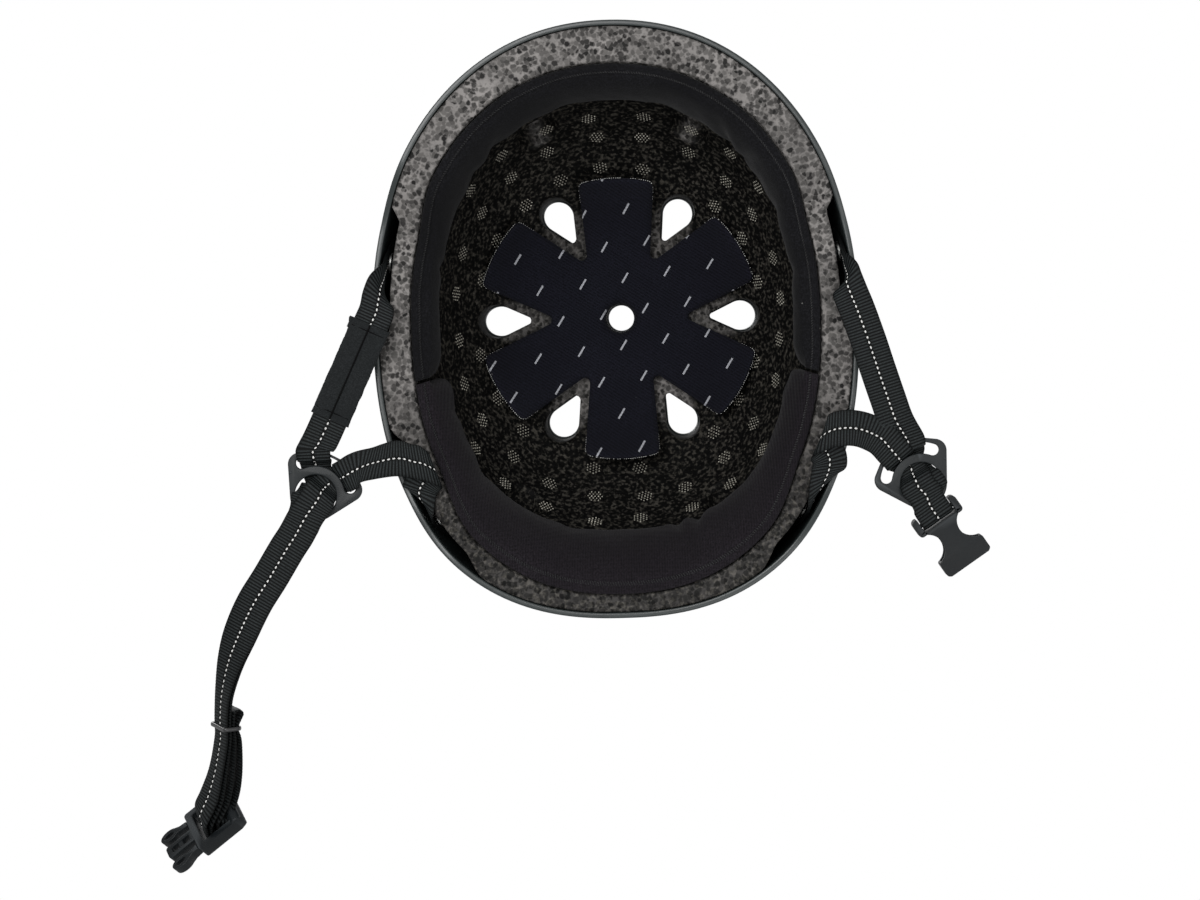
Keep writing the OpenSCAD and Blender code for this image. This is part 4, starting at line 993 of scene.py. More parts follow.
def makeCrownMaterial():
    mat, tree, shader, place, cloth = startCloth("crownCloth", (0.0018, 0.0019, 0.004),
        (0.012, 0.0125, 0.021), 1500.0, 0.3, 0.9, 0.04, {"turn": 57, "pitch": 0.0014, "cross": 0.0011,
        "mix": 0.3, "show": 0.5})
    turned = put(tree, "Mapping", {"Vector": place, "Rotation": (0, 0, rad(ticks["turn"]))}).outputs[0]
    parts = put(tree, "SeparateXYZ", {0: turned}).outputs
    down = calc(tree, "DIVIDE", parts[1], ticks["down"])
    row = calc(tree, "FLOOR", down)
    shifted = calc(tree, "ADD", calc(tree, "DIVIDE", parts[0], ticks["across"]),
        calc(tree, "MULTIPLY", row, 0.37))
    x = calc(tree, "ABSOLUTE", calc(tree, "SUBTRACT", calc(tree, "FRACT", shifted), 0.5))
    y = calc(tree, "ABSOLUTE", calc(tree, "SUBTRACT", calc(tree, "FRACT", down), 0.5))
    bar = calc(tree, "MULTIPLY", calc(tree, "LESS_THAN", x, ticks["long"] / 2 / ticks["across"]),
        calc(tree, "LESS_THAN", y, ticks["wide"] / 2 / ticks["down"]))
    color = blendColor(tree, calc(tree, "MULTIPLY", bar, 0.8), cloth, ticks["color"])
    tree.links.new(color, shader.inputs["Base Color"])
    return mat


crownPad, crownEdge = makeCrownPad()
crownPad.data.materials.append(makeCrownMaterial())
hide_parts("crown_pad")
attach(crownPad, "helmet")


# pale cut ends of yarn along the outer edge of each petal
def makeCrownFray():
    verts, faces = [], []
    run = runAlong(crownEdge)
    rand = np.random.default_rng(3)
    for s in np.arange(0, run[-1], 1.05):
        x, y = (np.interp(s, run, crownEdge[:, i]) for i in (0, 1))
        x2, y2 = (np.interp(min(s + 0.5, run[-1]), run, crownEdge[:, i]) for i in (0, 1))
        r = math.hypot(x, y)
        if r < 60 or rand.random() < 0.2:
            continue
        z = float(crownZ(r)) - crown["gap"] - crown["thick"] * 0.3
        t = unit(np.array([x2 - x, y2 - y, 0]))
        n = unit(np.array([x / r * 0.6, y / r * 0.6, -0.8]))
        addPart(verts, faces, bead(np.array([x, y, z]), n, t, np.cross(n, t),
            rand.uniform(0.2, 0.4), 0.16, 0.16, 6))
    return makeMesh("crownFray", verts, faces, paleMat)


crownFray = makeCrownFray()
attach(crownFray, "helmet")
print("making the webbing")

# webbing: route points as on the frame, each x, y, z, direction across, width and lift
web = {"width": 16, "thick": 1.3, "layer": 1.6, "squeezed": 13.6, "low": 1.0, "over": 6.25, "pitch": 1.36,
    "tracer": 2.4, "sleeveZ": 1.65, "sleeveX": 0.3, "sleeveY": -0.3, "sleeveTurn": 115, "rightTurn": -61.5,
    "leftTurn": -120, "anchorZ": 25, "frontAnchor": -29, "rearAnchor": 92}
q, low, over, sz = web["squeezed"], web["low"], web["over"], web["sleeveZ"]
wide, layer = web["width"], web["layer"]
rightRing, leftRing = (-26.7, 75.3), (25.6, 76.8)
sleeveC, sleeveS = math.cos(rad(web["sleeveTurn"])), math.sin(rad(web["sleeveTurn"]))


def flatRow(x, y, z, h, w):
    return [x, y, z, math.sin(rad(h)), -math.cos(rad(h)), 0, w, 0]


# row from its place, height, turn and width beside a divider's ring
def ringRow(ring, a, p):
    c, s = math.cos(rad(a)), math.sin(rad(a))
    x, y = ring[0] + p[0] * c - p[1] * s, ring[1] + p[0] * s + p[1] * c
    return flatRow(x, y, p[2], a + 180 + p[3], p[4])


def shellX(y, z):
    n = form["frontN"] if y < 0 else form["rearN"]
    k = float(share(z, form["high"], form["sideN"]) * swell(z))
    return form["halfW"] * k * max(0, 1 - (abs(y) / (form["halfL"] * k)) ** n) ** (1 / n)


def onShell(side, y, z, lean, extra):
    turn = math.atan2(shellX(y - 1, z) - shellX(y + 1, z), 2)
    deep = form["wall"] + 1 + web["thick"] / 2 + extra
    back = np.array([-side * math.sin(turn), math.cos(turn), 0])
    w = -side * (back * math.cos(rad(lean)) + np.array([0, 0, math.sin(rad(lean))]))
    x = side * (shellX(y, z) - deep * math.cos(turn)) - side * form["halfW"]
    return [x, y - deep * math.sin(turn), z, *w, wide, 0]


def frontLead(side):
    return [onShell(side, web["frontAnchor"] + d * 0.52, web["anchorZ"] - d * 0.97, 28.5, e)
        for d, e in ((-8, 0.2), (0, 0), (8, 0.2), (15.5, 0.4))]


def rearLead(side):
    return [onShell(side, web["rearAnchor"] - d * 0.5, web["anchorZ"] - d * 0.95, -32, e)
        for d, e in ((-8, 0.5), (0, 0), (8, 0.6), (15.5, 2))]


slotUp = [(20.5, 0, low, 0, 15.6), (16.6, 0, low + 0.1, 0, 15), (14.9, 0, low + 0.8, 0, 14.9),
    (14.15, 0, 3, 0, 14.9), (14.1, 0, 4.8, 0, 14.9), (13.7, 0, over - 0.45, 0, 14.5), (12.6, 0, over, 0, q)]


def slid(offs, turns):
    return [(p[0], o, p[2], t, p[4]) for p, o, t in zip(slotUp, offs, turns)]


def sleeveRow(s):
    return flatRow(web["sleeveX"] + s * sleeveC, web["sleeveY"] + s * sleeveS, sz, web["sleeveTurn"], wide)


rightTop = frontLead(-1) + [[4.2, -16.3, 4.6, 0.4, 0.83, 0.36, wide, 0],
    [4.2, -13.4, 2.5, 0.7, 0.68, 0.16, wide, 0], [3.7, -10, sz, 0.87, 0.48, 0, wide, 0]]
rightTop += [sleeveRow(s) for s in (-6, 0, 24, 52)]
rightNear = [flatRow(-25.4, 53.5, sz, 106, wide)] + [ringRow(rightRing, -90.5, p) for p in slotUp]
rightNear += [flatRow(-25.9, 66, over, 84, q), flatRow(-24.9, 70, over, 90, q)]
rightNear += [ringRow(rightRing, web["rightTurn"], p) for p in ((3.8, -1.7, over - 0.05, -13, 14.2),
    (2.2, -1.7, 5.6, -13, 14.6), (0.9, -1.7, 3.8, -13, 15), (0, -1.8, 2.3, -12, 15.4),
    (-1, -2, 1.45, -11, 15.8), (-2.9, -1.8, low + 0.05, -8, wide), (-5.4, -1, low, -4, wide),
    (-9, 0.1, low, 0, wide), (-13, 0.6, low, 2, wide), (-15.3, 0.56, low, 2.7, wide))]
for k, row in enumerate(rightNear):
    row[7] = (0, 0.5, 1.2, layer)[min(k, 3)]


def chinRow(x, y, z, h, turn):
    flat = math.cos(rad(turn))
    return [x, y, z, math.sin(rad(h)) * flat, -math.cos(rad(h)) * flat, -math.sin(rad(turn)), wide, 0]


chinTop = [chinRow(*p) for p in ((-34.4, 90.6, low, 121.2, 0), (-36.1, 93.4, low, 121.5, 0),
    (-40, 99.1, low, 123, 0), (-47.4, 111, low, 123, 1), (-54.9, 122.3, 1.4, 120, 4),
    (-61.6, 135, 3.1, 116, 16), (-67.4, 148.2, 5.8, 109, 38), (-71, 161.7, 7.4, 99, 54))]
chinLow = [chinRow(*p) for p in ((-72.2, 172, 7.8, 91, 58), (-72.35, 178, 7.8, 91.5, 58),
    (-72.5, 184, 7.8, 92, 58), (-75.2, 198, 7.8, 100, 57), (-78.6, 209, 7.6, 104, 50))]
chinLow += [[-82.3, 216.9, 7.6, 0.47, 0.48, -0.74, wide, 0], [-82.5, 220.3, 9.6, 0.47, 0.5, -0.73, wide, 0]]
barW = unit([0.47, 0.5, -0.73])
barT = unit(np.cross(np.cross(barW, [-0.05, 0.82, 0.57]), barW))
barN = np.cross(barW, barT)
barR, innerR = 1.0, 1.0 + 0.4 + web["thick"] / 2
outerR = innerR + layer
barC = np.array([-82.6, 223.6, 11.8]) + barN * outerR
barRow = [-82.6, 223.6, 11.8, *barW, wide, 0]
tailLift = [3.4, 3.2, 4, 5.6, 6.2, 5.6, 5.5, layer + 2 * innerR]
lastLift = [7.4, 4.9, 6.6, 9.2, 9.9, 8.6, 7.6, 2 * layer + 2 * innerR]
firstLift = [layer, layer, layer, 2, 2.8, 3, 2.2, layer, layer]


def withLift(rows, lifts):
    return [row[:7] + [lifts[min(k, len(lifts) - 1)]] for k, row in enumerate(rows)]


rightRearRoot = [[19.6, 78, 7.4, 0.78, 0.6, -0.2, wide, 0], [19.2, 74.8, 7.3, 0.94, 0.34, 0, wide, 0],
    [20.9, 71.5, 6.7, 0.85, 0.53, 0, wide, 0], [23.3, 68.7, 6, 0.7, 0.71, 0, wide, 0],
    [25.5, 66.9, 5.1, 0.5, 0.87, 0, wide, 0], [26.6, 65.6, 3.6, 0.35, 0.94, 0, wide, 0],
    [25.4, 64.2, 1.9, 0.25, 0.97, 0, wide, 0], [23.4, 62.9, 1.15, 0.2, 0.98, 0, wide, 0],
    [21.4, 61.9, low, 0.15, 0.99, 0, wide, 0]]
rightRearRows = [flatRow(17.8, 61.1, low, 172, wide), flatRow(13.6, 59.8, low, 177, wide),
    flatRow(8.9, 59.5, low, 183, wide), flatRow(2.1, 60.7, low, 193, wide), flatRow(-4, 62.3, low, 196, wide)]
rightRearNear = [ringRow(rightRing, -32.5, p) for p in slid((0.4, 0.2, 0.1, 0, 0, 0, 0),
    (18, 10, 4, 0, 0, 0, 0))]
rightRearNear += [ringRow(rightRing, web["rightTurn"], p) for p in ((9.6, 4.1, over, 32, q),
    (7.6, 3, over, 26, q), (6.3, 2.4, over - 0.05, 20, 14.4), (4.9, 2, over - 0.9, 15, 14.8),
    (4, 1.8, 3.7, 13, 15.1), (3.1, 1.7, 2.05, 13, 15.4), (1.7, 1.9, low + 0.15, 12, 15.8),
    (-0.8, 2, low, 9, wide), (-4.5, 1.5, low, 2, wide), (-9, 0.8, low, -3, wide), (-13, 0.6, low, 0, wide),
    (-15.3, 0.56, low, 2.7, wide))]

leftFrontRows = frontLead(1) + [[-4.5, -16.3, 4.6, 0.4, -0.83, -0.36, wide, 0],
    [-5.4, -13.6, 2.7, 0.75, -0.6, -0.16, wide, 0], [-4.2, -9, 1.3, 0.9, -0.43, 0, wide, 0],
    flatRow(-1.3, -1.3, low, 71, wide), flatRow(3.2, 12.2, low, 73, wide), flatRow(7.2, 25.4, low, 73, wide),
    flatRow(11.3, 38.5, low, 73, wide), flatRow(14.6, 48.5, low, 70, wide)]
leftDrop = [(9, 0.3, over, q), (6.4, 0.8, over - 0.05, 14.2), (4.9, 1.1, over - 0.9, 14.6), (4, 1.3, 3.7, 15),
    (3.1, 1.6, 2.05, 15.3), (1.7, 1.9, low + 0.15, 15.6), (-0.8, 2.2, low, 15.8), (-5, 1.7, low, 15.8)]


def dropRows(side):
    rows = [(x, side * y + 0.4 * (x < -4), z, 3 * (x < -4), w) for x, y, z, w in leftDrop]
    return [ringRow(leftRing, web["leftTurn"], p) for p in rows]


socketBar = np.array([31.7, 91.3, low + innerR])
socketTurn = 56.3
socketT = np.array([math.cos(rad(socketTurn)), math.sin(rad(socketTurn)), 0])
socketW = np.array([math.sin(rad(socketTurn)), -math.cos(rad(socketTurn)), 0])
barRows = [flatRow(*(socketBar[:2] + socketT[:2] * d + socketW[:2] * e), low, socketTurn, w) for d, e, w in (
    (-7, 0.5, 15.4), (-4.8, 0.1, wide), (-3.1, 0, wide), (-1.3, 0, wide), (0, 0, wide))]
leftRearRun = [flatRow(-12.5, 51.6, low, 4, wide), flatRow(-7, 51.1, low, 2, wide),
    flatRow(-2, 51.7, low, 10, wide), flatRow(3, 53.5, low, 24, wide), flatRow(8, 56.4, low, 38, wide)]
leftDown = slid((-1, -0.9, -0.9, -0.8, -0.8, -0.7, -0.6), (-6, -2, 0, 0, 0, 1, 3))
leftLow = leftRearRun + [ringRow(leftRing, -128, p) for p in leftDown] + dropRows(-1) + barRows
leftUp = [ringRow(leftRing, -110, p) for p in slid((1, 0.8, 0.7, 0.7, 0.6, 0.5, 0.4),
    (2, 0, 0, 0, 0, -1, -3))]
leftTop = leftFrontRows + withLift(leftUp + dropRows(1), [layer])
leftTop += withLift(barRows, [layer, layer, layer + 0.1, 2 * innerR - 0.6, 2 * innerR])
leftRearRoot = [[-18.8, 77.5, 7.3, 0.75, -0.63, 0.2, wide, 0], [-16.2, 72.5, 7, 0.96, -0.28, 0, wide, 0],
    [-15, 68.5, 6.6, 0.99, -0.12, 0, wide, 0], [-15, 64.5, 6.1, 0.93, -0.36, 0, wide, 0],
    [-16.8, 61, 5.5, 0.8, -0.6, 0, wide, 0], [-18.2, 58.3, 4.8, 0.62, -0.78, 0, wide, 0],
    [-18.7, 56.4, 3.6, 0.45, -0.9, 0, wide, 0], [-17.9, 54.6, 2.1, 0.3, -0.95, 0, wide, 0],
    [-16.1, 53, 1.25, 0.1, -0.99, 0, wide, 0]]


# dense line of centres, half widths and directions across, through rows of points
def strand(rows, steps=14):
    rows = np.array(rows, float)
    n = len(rows)
    before = np.vstack([2 * rows[0] - rows[1], rows[:-1]])
    after = np.vstack([rows[1:], 2 * rows[-1] - rows[-2]])
    line = []
    for i in range(n - 1):
        p0, p1, p2, p3 = before[i], rows[i], rows[i + 1], after[i + 1]
        line += [through(p0, p1, p2, p3, t) for t in np.arange(steps) / steps]
    line.append(rows[-1])
    line = np.array(line)
    ahead = unit(np.gradient(line[:, :3], axis=0))
    w = unit(line[:, 3:6])
    raised = line[:, :3] + unit(np.cross(w, ahead)) * line[:, 7:8]
    return np.hstack([raised, line[:, 6:7] / 2, w])


def halfTurn(c, side, forward, w, r, steps=10):
    a = math.pi * np.arange(1, steps) / steps
    pts = c + np.outer(np.cos(a), side) * r + np.outer(np.sin(a), forward) * r
    return np.hstack([pts, np.full((len(a), 1), wide / 2), np.tile(w, (len(a), 1))])


def resample(line, pitch):
    run = runAlong(line[:, :3])
    at = np.arange(0, run[-1], pitch)
    return np.stack([np.interp(at, run, line[:, k]) for k in range(line.shape[1])], -1), at


def moved(line, side):
    return line + np.array([side * form["halfW"], 0, 0, 0, 0, 0, 0])


columns = np.array([-1, -0.985, -0.93, -0.8, -0.6, -0.4, -0.2, -0.1, -0.06, 0, 0.06, 0.1, 0.2, 0.4, 0.6, 0.8,
    0.93, 0.985, 1])


# ribbed webbing along a resampled line, with the tracer stitches on both faces
def webbingMesh(name, line, at):
    c, hw, w = line[:, :3], line[:, 3], unit(line[:, 4:7])
    t = unit(np.gradient(c, axis=0))
    n = unit(np.cross(w, t))
    phase = (at / web["pitch"]) % 1
    rib = np.sin(np.pi * phase) ** 0.7
    edge = (1 - np.abs(columns) ** 9) ** 0.5
    groove = np.exp(-(columns / 0.075) ** 2)
    rows, paintedRibShade = [], []
    for k in range(len(c)):
        body = 0.45 + 0.2 * rib[k] * (0.45 + 0.55 * edge) * (1 - 0.75 * groove) - 0.13 * groove
        high = body * (0.35 + 0.65 * edge)
        middle, lift = c[k] + np.outer(columns * hw[k], w[k]), np.outer(high, n[k])
        rows.append(np.vstack([middle + lift, (middle - lift)[::-1]]))
        # painted shade darkens the rib valleys and the groove beside the tracer, and the colour is also
        # darker towards the edges
        shade = rib[k] * (1 - 0.9 * groove) * (0.55 + 0.45 * edge)
        paintedRibShade.append(np.concatenate([shade, shade[::-1]]))
    m = 2 * len(columns)
    verts, paintedRibShade = list(np.vstack(rows)), list(np.concatenate(paintedRibShade))
    faces = gridFaces(len(rows), m, flip=True) + [cap[::-1] for cap in capFaces(len(rows), m)]
    woven = len(faces)
    for s in np.arange(math.ceil(at[0] / web["tracer"]) * web["tracer"], at[-1], web["tracer"]):
        k = min(len(at) - 1, int(round((s - at[0]) / (at[1] - at[0]))))
        for face in (1, -1):
            addPart(verts, faces, bead(c[k] + n[k] * face * 0.43, n[k] * face, t[k], w[k],
                0.68, 0.44, 0.2, 8))
    paintedRibShade += [1.0] * (len(verts) - len(paintedRibShade))
    obj = makeMesh(name, verts, faces, webbingMat, paleMat)
    index = np.zeros(len(obj.data.polygons), np.int32)
    index[woven:] = 1
    obj.data.polygons.foreach_set("material_index", index)
    values = obj.data.attributes.new("paintedRibShade", "FLOAT", "POINT")
    values.data.foreach_set("value", np.array(paintedRibShade, np.float32))
    return obj


# the right webbing is one run: brow anchor, sleeve, divider, plug, loose tail, plug, divider, nape anchor
tail2 = strand(withLift(chinLow + [barRow], tailLift))
tail3 = strand(withLift(chinLow + [barRow], lastLift))
foldR = (lastLift[0] - tailLift[0]) / 2
foldT = unit(tail2[1, :3] - tail2[0, :3])
foldU = unit(np.cross(tail2[0, 4:7], foldT))
rightRun = [strand(rightTop + rightNear + withLift(chinTop, [layer]) + withLift(chinLow + [barRow],
    firstLift)), halfTurn(barC, -barN, barT, barW, innerR), tail2[::-1],
    halfTurn(tail2[0, :3] + foldU * foldR, -foldU, -foldT, tail2[0, 4:7], foldR, 8), tail3,
    halfTurn(barC, barN, barT, barW, outerR), strand(rearLead(-1) + rightRearRoot + rightRearRows
    + rightRearNear + chinTop + chinLow + [barRow])[::-1]]
rightLine, rightAt = resample(moved(np.vstack(rightRun), -1), web["pitch"] / 4)
leftRun = [strand(leftTop), halfTurn(socketBar, np.array([0, 0, 1.0]), socketT, socketW, innerR),
    strand(rearLead(1) + leftRearRoot + leftLow)[::-1]]
leftLine, leftAt = resample(moved(np.vstack(leftRun), 1), web["pitch"] / 4)
print("right webbing %.0f mm, left webbing %.0f mm" % (rightAt[-1], leftAt[-1]))


def nearest(line, point, part):
    d = np.linalg.norm(line[:, :3] - np.array(point), axis=1)
    half = len(line) // 2
    d[half:] += 1e6 * (part == 0)
    d[:half] += 1e6 * (part == 1)
    return int(np.argmin(d))


# split where the straps lie in the divider's slots, because each bends at one hinge only
frontCut = nearest(rightLine, (-134.9, 66, over + layer), 0)
rearCut = nearest(rightLine, (-131.5 + 6, 70.5, over), 1)
rightFront = webbingMesh("rightFrontWebbing", rightLine[:frontCut + 1], rightAt[:frontCut + 1])
chinStrap = webbingMesh("chinWebbing", rightLine[frontCut:rearCut + 1], rightAt[frontCut:rearCut + 1])
rightRear = webbingMesh("rightRearWebbing", rightLine[rearCut:], rightAt[rearCut:])
leftStrap = webbingMesh("leftWebbing", leftLine, leftAt)
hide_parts("right_front_root", "right_front_strap")
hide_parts("right_rear_root", "right_rear_strap")
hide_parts("chin_webbing")
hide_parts("left_front_root", "left_rear_root", "left_strap")
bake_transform(rightFront)
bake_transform(rightRear)
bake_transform(chinStrap)
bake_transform(leftStrap)


# sleeve on the right front strap: its start, its direction along the strap and the one across
sleeveForm = {"long": 46, "halfW": 8.85, "halfT": 1.5, "seam": 0.35, "seamDown": 1.28, "hemHalf": 7.6}
sleeveAt = np.array([web["sleeveX"] - form["halfW"], web["sleeveY"], sz])
sleeveAlong, sleeveAcross = np.array([sleeveC, sleeveS, 0]), np.array([sleeveS, -sleeveC, 0])


def makeSleeve():
    rows = []
    n = 64
    for k in range(93):
        s = sleeveForm["long"] * k / 92
        end = min(s, sleeveForm["long"] - s)
        flare = 0.12 * math.exp(-end / 1.2)
        ring = []
        for i in range(n):
            a = 2 * math.pi * i / n
            x, y = math.cos(a), math.sin(a)
            px = math.copysign(abs(x) ** 0.28, x) * (sleeveForm["halfW"] + flare)
            py = math.copysign(abs(y) ** 0.6, y) * (sleeveForm["halfT"] + flare)
            if y < 0:
                py += sleeveForm["seam"] * math.exp(-(px / 0.35) ** 2)
            hem = 0.3 * math.exp(-((end - 2.6) / 0.4) ** 2)
            wrinkle = 0.16 * noise.noise(Vector((s * 0.25, px * 0.3, 3)))
            wrinkle += 0.1 * noise.noise(Vector((s * 0.9, px * 0.12, 9)))
            py *= 1 - hem * 0.6
            corner = 1.3 * math.exp(-((s - 0.8) / 2.2) ** 2) * easeIn(-px / 8)
            corner += 0.5 * math.exp(-(s / 1.5) ** 2) * easeIn(px / 8)
            ring.append((s, px + wrinkle * 1.5 - corner * (1 if px < 0 else -1),
                py + (wrinkle if y > 0 else -wrinkle)))
        rows.append(ring)
    inner = [[(s, px * 0.95, py * 0.72) for s, px, py in ring] for ring in (rows[0], rows[-1])]
    full = [[(5, px, py) for s, px, py in inner[0]], inner[0]] + rows
    full += [inner[1], [(s - 5, px, py) for s, px, py in inner[1]]]
    verts = [sleeveAt + sleeveAlong * s + sleeveAcross * px + np.array([0, 0, py])
        for ring in full for s, px, py in ring]
    faces = gridFaces(len(full), n, flip=True)
    return makeMesh("sleeveCloth", verts, faces, sleeveMat)


sleeve = makeSleeve()
# the seam's thread is near-black as painted shade in its groove, and the hems use the same thread
seamLine = [sleeveAt + sleeveAlong * s - np.array([0, 0, sleeveForm["seamDown"]])
    for s in np.linspace(0.5, 45.5, 60)]
seamThreadAndShade = tube("sleeveSeam", seamLine, 0.42, seamShadeMat, 6)


# line of a hem across the sleeve, at a share of the seam's length
def hemLine(along):
    start = seamLine[0] + (seamLine[-1] - seamLine[0]) * along
    return [start + sleeveAcross * x + np.array([0, 0, -0.06 * math.cos(x / 5)])
        for x in np.linspace(-sleeveForm["hemHalf"], sleeveForm["hemHalf"], 24)]


hems = [tube("sleeveHem", hemLine(along), 0.24, seamShadeMat, 6) for along in (0.06, 0.935)]
for piece in (sleeve, seamThreadAndShade, *hems):
    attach(piece, "sleeve")
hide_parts("strap_sleeve")

# keeper, a soft elastic ring round the four layers
keepP, keepT = np.array([-72.35 - form["halfW"], 178, 7.8]), unit([-0.025, 1, 0])
keepW = np.array([math.cos(rad(58)), 0, -math.sin(rad(58))])
keepN = unit(np.cross(keepW, keepT))


def makeKeeper():
    high = web["thick"] + 3 * layer
    half, off = 8.9, 0.95
    outline = rounded([(-half, -off, 1.2), (half, -off, 1.2), (half, high + off, 2.2),
        (-half, high + off, 2.2)], 8)
    start = keepP - keepN * web["thick"] / 2
    pts = np.array([start + keepW * x + keepN * y + keepT * (0.5 * math.sin(x * 0.18) - 0.05 * x)
        for x, y in denser(outline, 0.8)])
    middle = pts.mean(0)
    n, sides = len(pts), 12
    verts = []
    for k in range(n):
        ahead = unit(pts[(k + 1) % n] - pts[k - 1])
        out = unit(np.cross(ahead, keepT))
        if out @ (pts[k] - middle) < 0:
            out = -out
        for i in range(sides):
            a = 2 * math.pi * i / sides
            verts.append(pts[k] + keepT * 0.95 * math.cos(a) + out * (0.42 * math.sin(a)))
    last = (n - 1) * sides
    faces = gridFaces(n, sides)
    faces += [(last + c, last + (c + 1) % sides, (c + 1) % sides, c) for c in range(sides)]
    return makeMesh("keeperRing", verts, faces, elasticMat)


keeper = makeKeeper()
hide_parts("keeper_band")
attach(keeper, "keeper")
print("making the dividers and the buckle")

# dividers, each a ring in a plate with two rounded ears and a curved slot
divider = {"hole": 9.4, "edge": 2, "slotR": 15.75, "slotW": 5.1, "slotA": 50.5, "earA": 54, "corner": 5.2,
    "hipA": 0.42, "hipOut": 2.6, "hipR": 2.4, "pipA": 20, "pipIn": 0.6, "thick": 1.8, "z": 3.4}


def turnsIn(a, b, p):
    return (b[0] - a[0]) * (p[1] - a[1]) - (b[1] - a[1]) * (p[0] - a[0]) <= 0


# outer outline round a set of points
def hullOutline(points):
    pts = sorted(set((round(x, 4), round(y, 4)) for x, y in points))

    def half(seq):
        out = []
        for p in seq:
            while len(out) > 1 and turnsIn(out[-2], out[-1], p):
                out.pop()
            out.append(p)
        return out

    return half(pts)[:-1] + half(pts[::-1])[:-1]


# points on a circle, at angles in degrees
def onCircle(r, turns):
    return [(r * math.cos(rad(t)), r * math.sin(rad(t))) for t in turns]


# an outline moved from the ring's middle out to a radius and an angle
def movedOut(r, turn, points):
    dx, dy = r * math.cos(rad(turn)), r * math.sin(rad(turn))
    return [(dx + x, dy + y) for x, y in points]


def dividerPlate(name):
    d = divider
    pts = circleOutline(d["hole"] + d["edge"], 90)
    for s in (-1, 1):
        pts += movedOut(d["slotR"], s * d["earA"], circleOutline(d["corner"], 60))
        pts += movedOut(d["slotR"] + d["hipOut"], s * d["earA"] * d["hipA"], circleOutline(d["hipR"], 30))
    end, half = d["slotA"], d["slotW"] / 2
    slot = onCircle(d["slotR"] + half, np.linspace(-end, end, 40))
    slot += movedOut(d["slotR"], end, onCircle(half, end + np.linspace(12, 168, 12)))
    slot += onCircle(d["slotR"] - half, np.linspace(end, -end, 34))
    slot += movedOut(d["slotR"], -end, onCircle(half, -end + np.linspace(192, 348, 12)))
    body = plate(name, [hullOutline(pts), circleOutline(d["hole"], 96), slot], d["thick"], 0.45, dividerMat)
    pieces = [body]
    for s in (-1, 1):
        a, r = rad(s * (d["earA"] + d["pipA"])), d["slotR"] - d["pipIn"]
        for face in (-1.0, 1.0):
            spot = np.array([r * math.cos(a), r * math.sin(a), face * d["thick"] / 2])
            up, ex, ey = np.array([0, 0, face]), np.array([1.0, 0, 0]), np.array([0, face, 0])
            pieces.append(makeMesh("pip", *bead(spot, up, ex, ey, 0.75, 0.75, 0.35, 14), dividerMat))
    return joined(name, pieces)


for name, node, ring, turn, side, body in (
        ("rightDivider", "right_divider", rightRing, web["rightTurn"], -1, "right_harness"),
        ("leftDivider", "left_divider", leftRing, web["leftTurn"], 1, "left_harness")):
    piece = dividerPlate(name)
    c, s = math.cos(rad(turn)), math.sin(rad(turn))
    origin = (side * form["halfW"] + ring[0], ring[1], divider["z"] + divider["thick"] / 2)
    placed(piece, origin, (c, s, 0), (-s, c, 0), (0, 0, 1))
    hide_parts(node)
    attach(piece, body)

# buckle socket, its bar at the origin and its mouth towards x
sock = {"long": 25.8, "ear": 3.9, "thick": 7, "in": 8.5, "out": 11.5, "slot": 3.1}


# rectangle about y = 0, with one corner radius for each end
def slab(x0, x1, half, r0, r1, steps):
    return rounded([(x0, -half, r0), (x1, -half, r1), (x1, half, r1), (x0, half, r0)], steps)


def makeSocket():
    s = sock
    turns = np.linspace(math.pi + 0.095, 2 * math.pi - 0.095, 15)
    scoop = [(10.7 + 7.4 * math.cos(t), 12.2 + 7.4 * math.sin(t), 0) for t in turns]
    scoop[0], scoop[-1] = (*scoop[0][:2], 1.3), (*scoop[-1][:2], 1.2)
    half = [(s["slot"], s["out"] - 0.6, 0.4)] + scoop + [(24.8, s["out"], 1.3), (s["long"], 10, 0.6)]
    body = plate("socketBody", [rounded(half + [(x, -y, r) for x, y, r in half[::-1]], 6)], s["thick"],
        0.8, buckleMat, 4)
    hollow = plate("hollow", [slab(7, s["long"] + 6, 10.1, 1, 1, 4)], s["thick"] - 2.2, 0.6, buckleMat)
    cutAway(body, [hollow])
    ears = [plate("ear", [rounded([(-s["ear"], side * s["in"], 0.6), (4.4, side * s["in"], 0.3),
        (4.4, side * s["out"], 1.6), (-s["ear"], side * s["out"], 2.1)], 6)], s["thick"], 0.8, buckleMat, 4)
        for side in (-1, 1)]
    bar = tube("bar", [(0, y, 0) for y in np.linspace(-s["in"] - 1, s["in"] + 1, 9)], barR, buckleMat, 18)
    return joined("buckleSocket", [body, bar] + ears)


socketPiece = makeSocket()
socketAt = (socketBar[0] + form["halfW"], socketBar[1], sock["thick"] / 2 + 0.05)
placed(socketPiece, socketAt, tuple(socketT), tuple(-socketW), (0, 0, 1))
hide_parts("buckle_socket")
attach(socketPiece, "socket")

# buckle plug, its bar at the origin and its tips towards x
plug = {"in": 8.5, "rail": 3, "end": 14, "cross": 5.2, "crossL": 3.4, "thick": 6.6, "arm": 4.8, "gap": 0.5}
plugX = np.array([-0.84, 0.52, 0])
plugX = unit(plugX - barW * (plugX @ barW))
plugZ = np.cross(plugX, barW)
plugAt = barC + np.array([-form["halfW"], 0, 0])


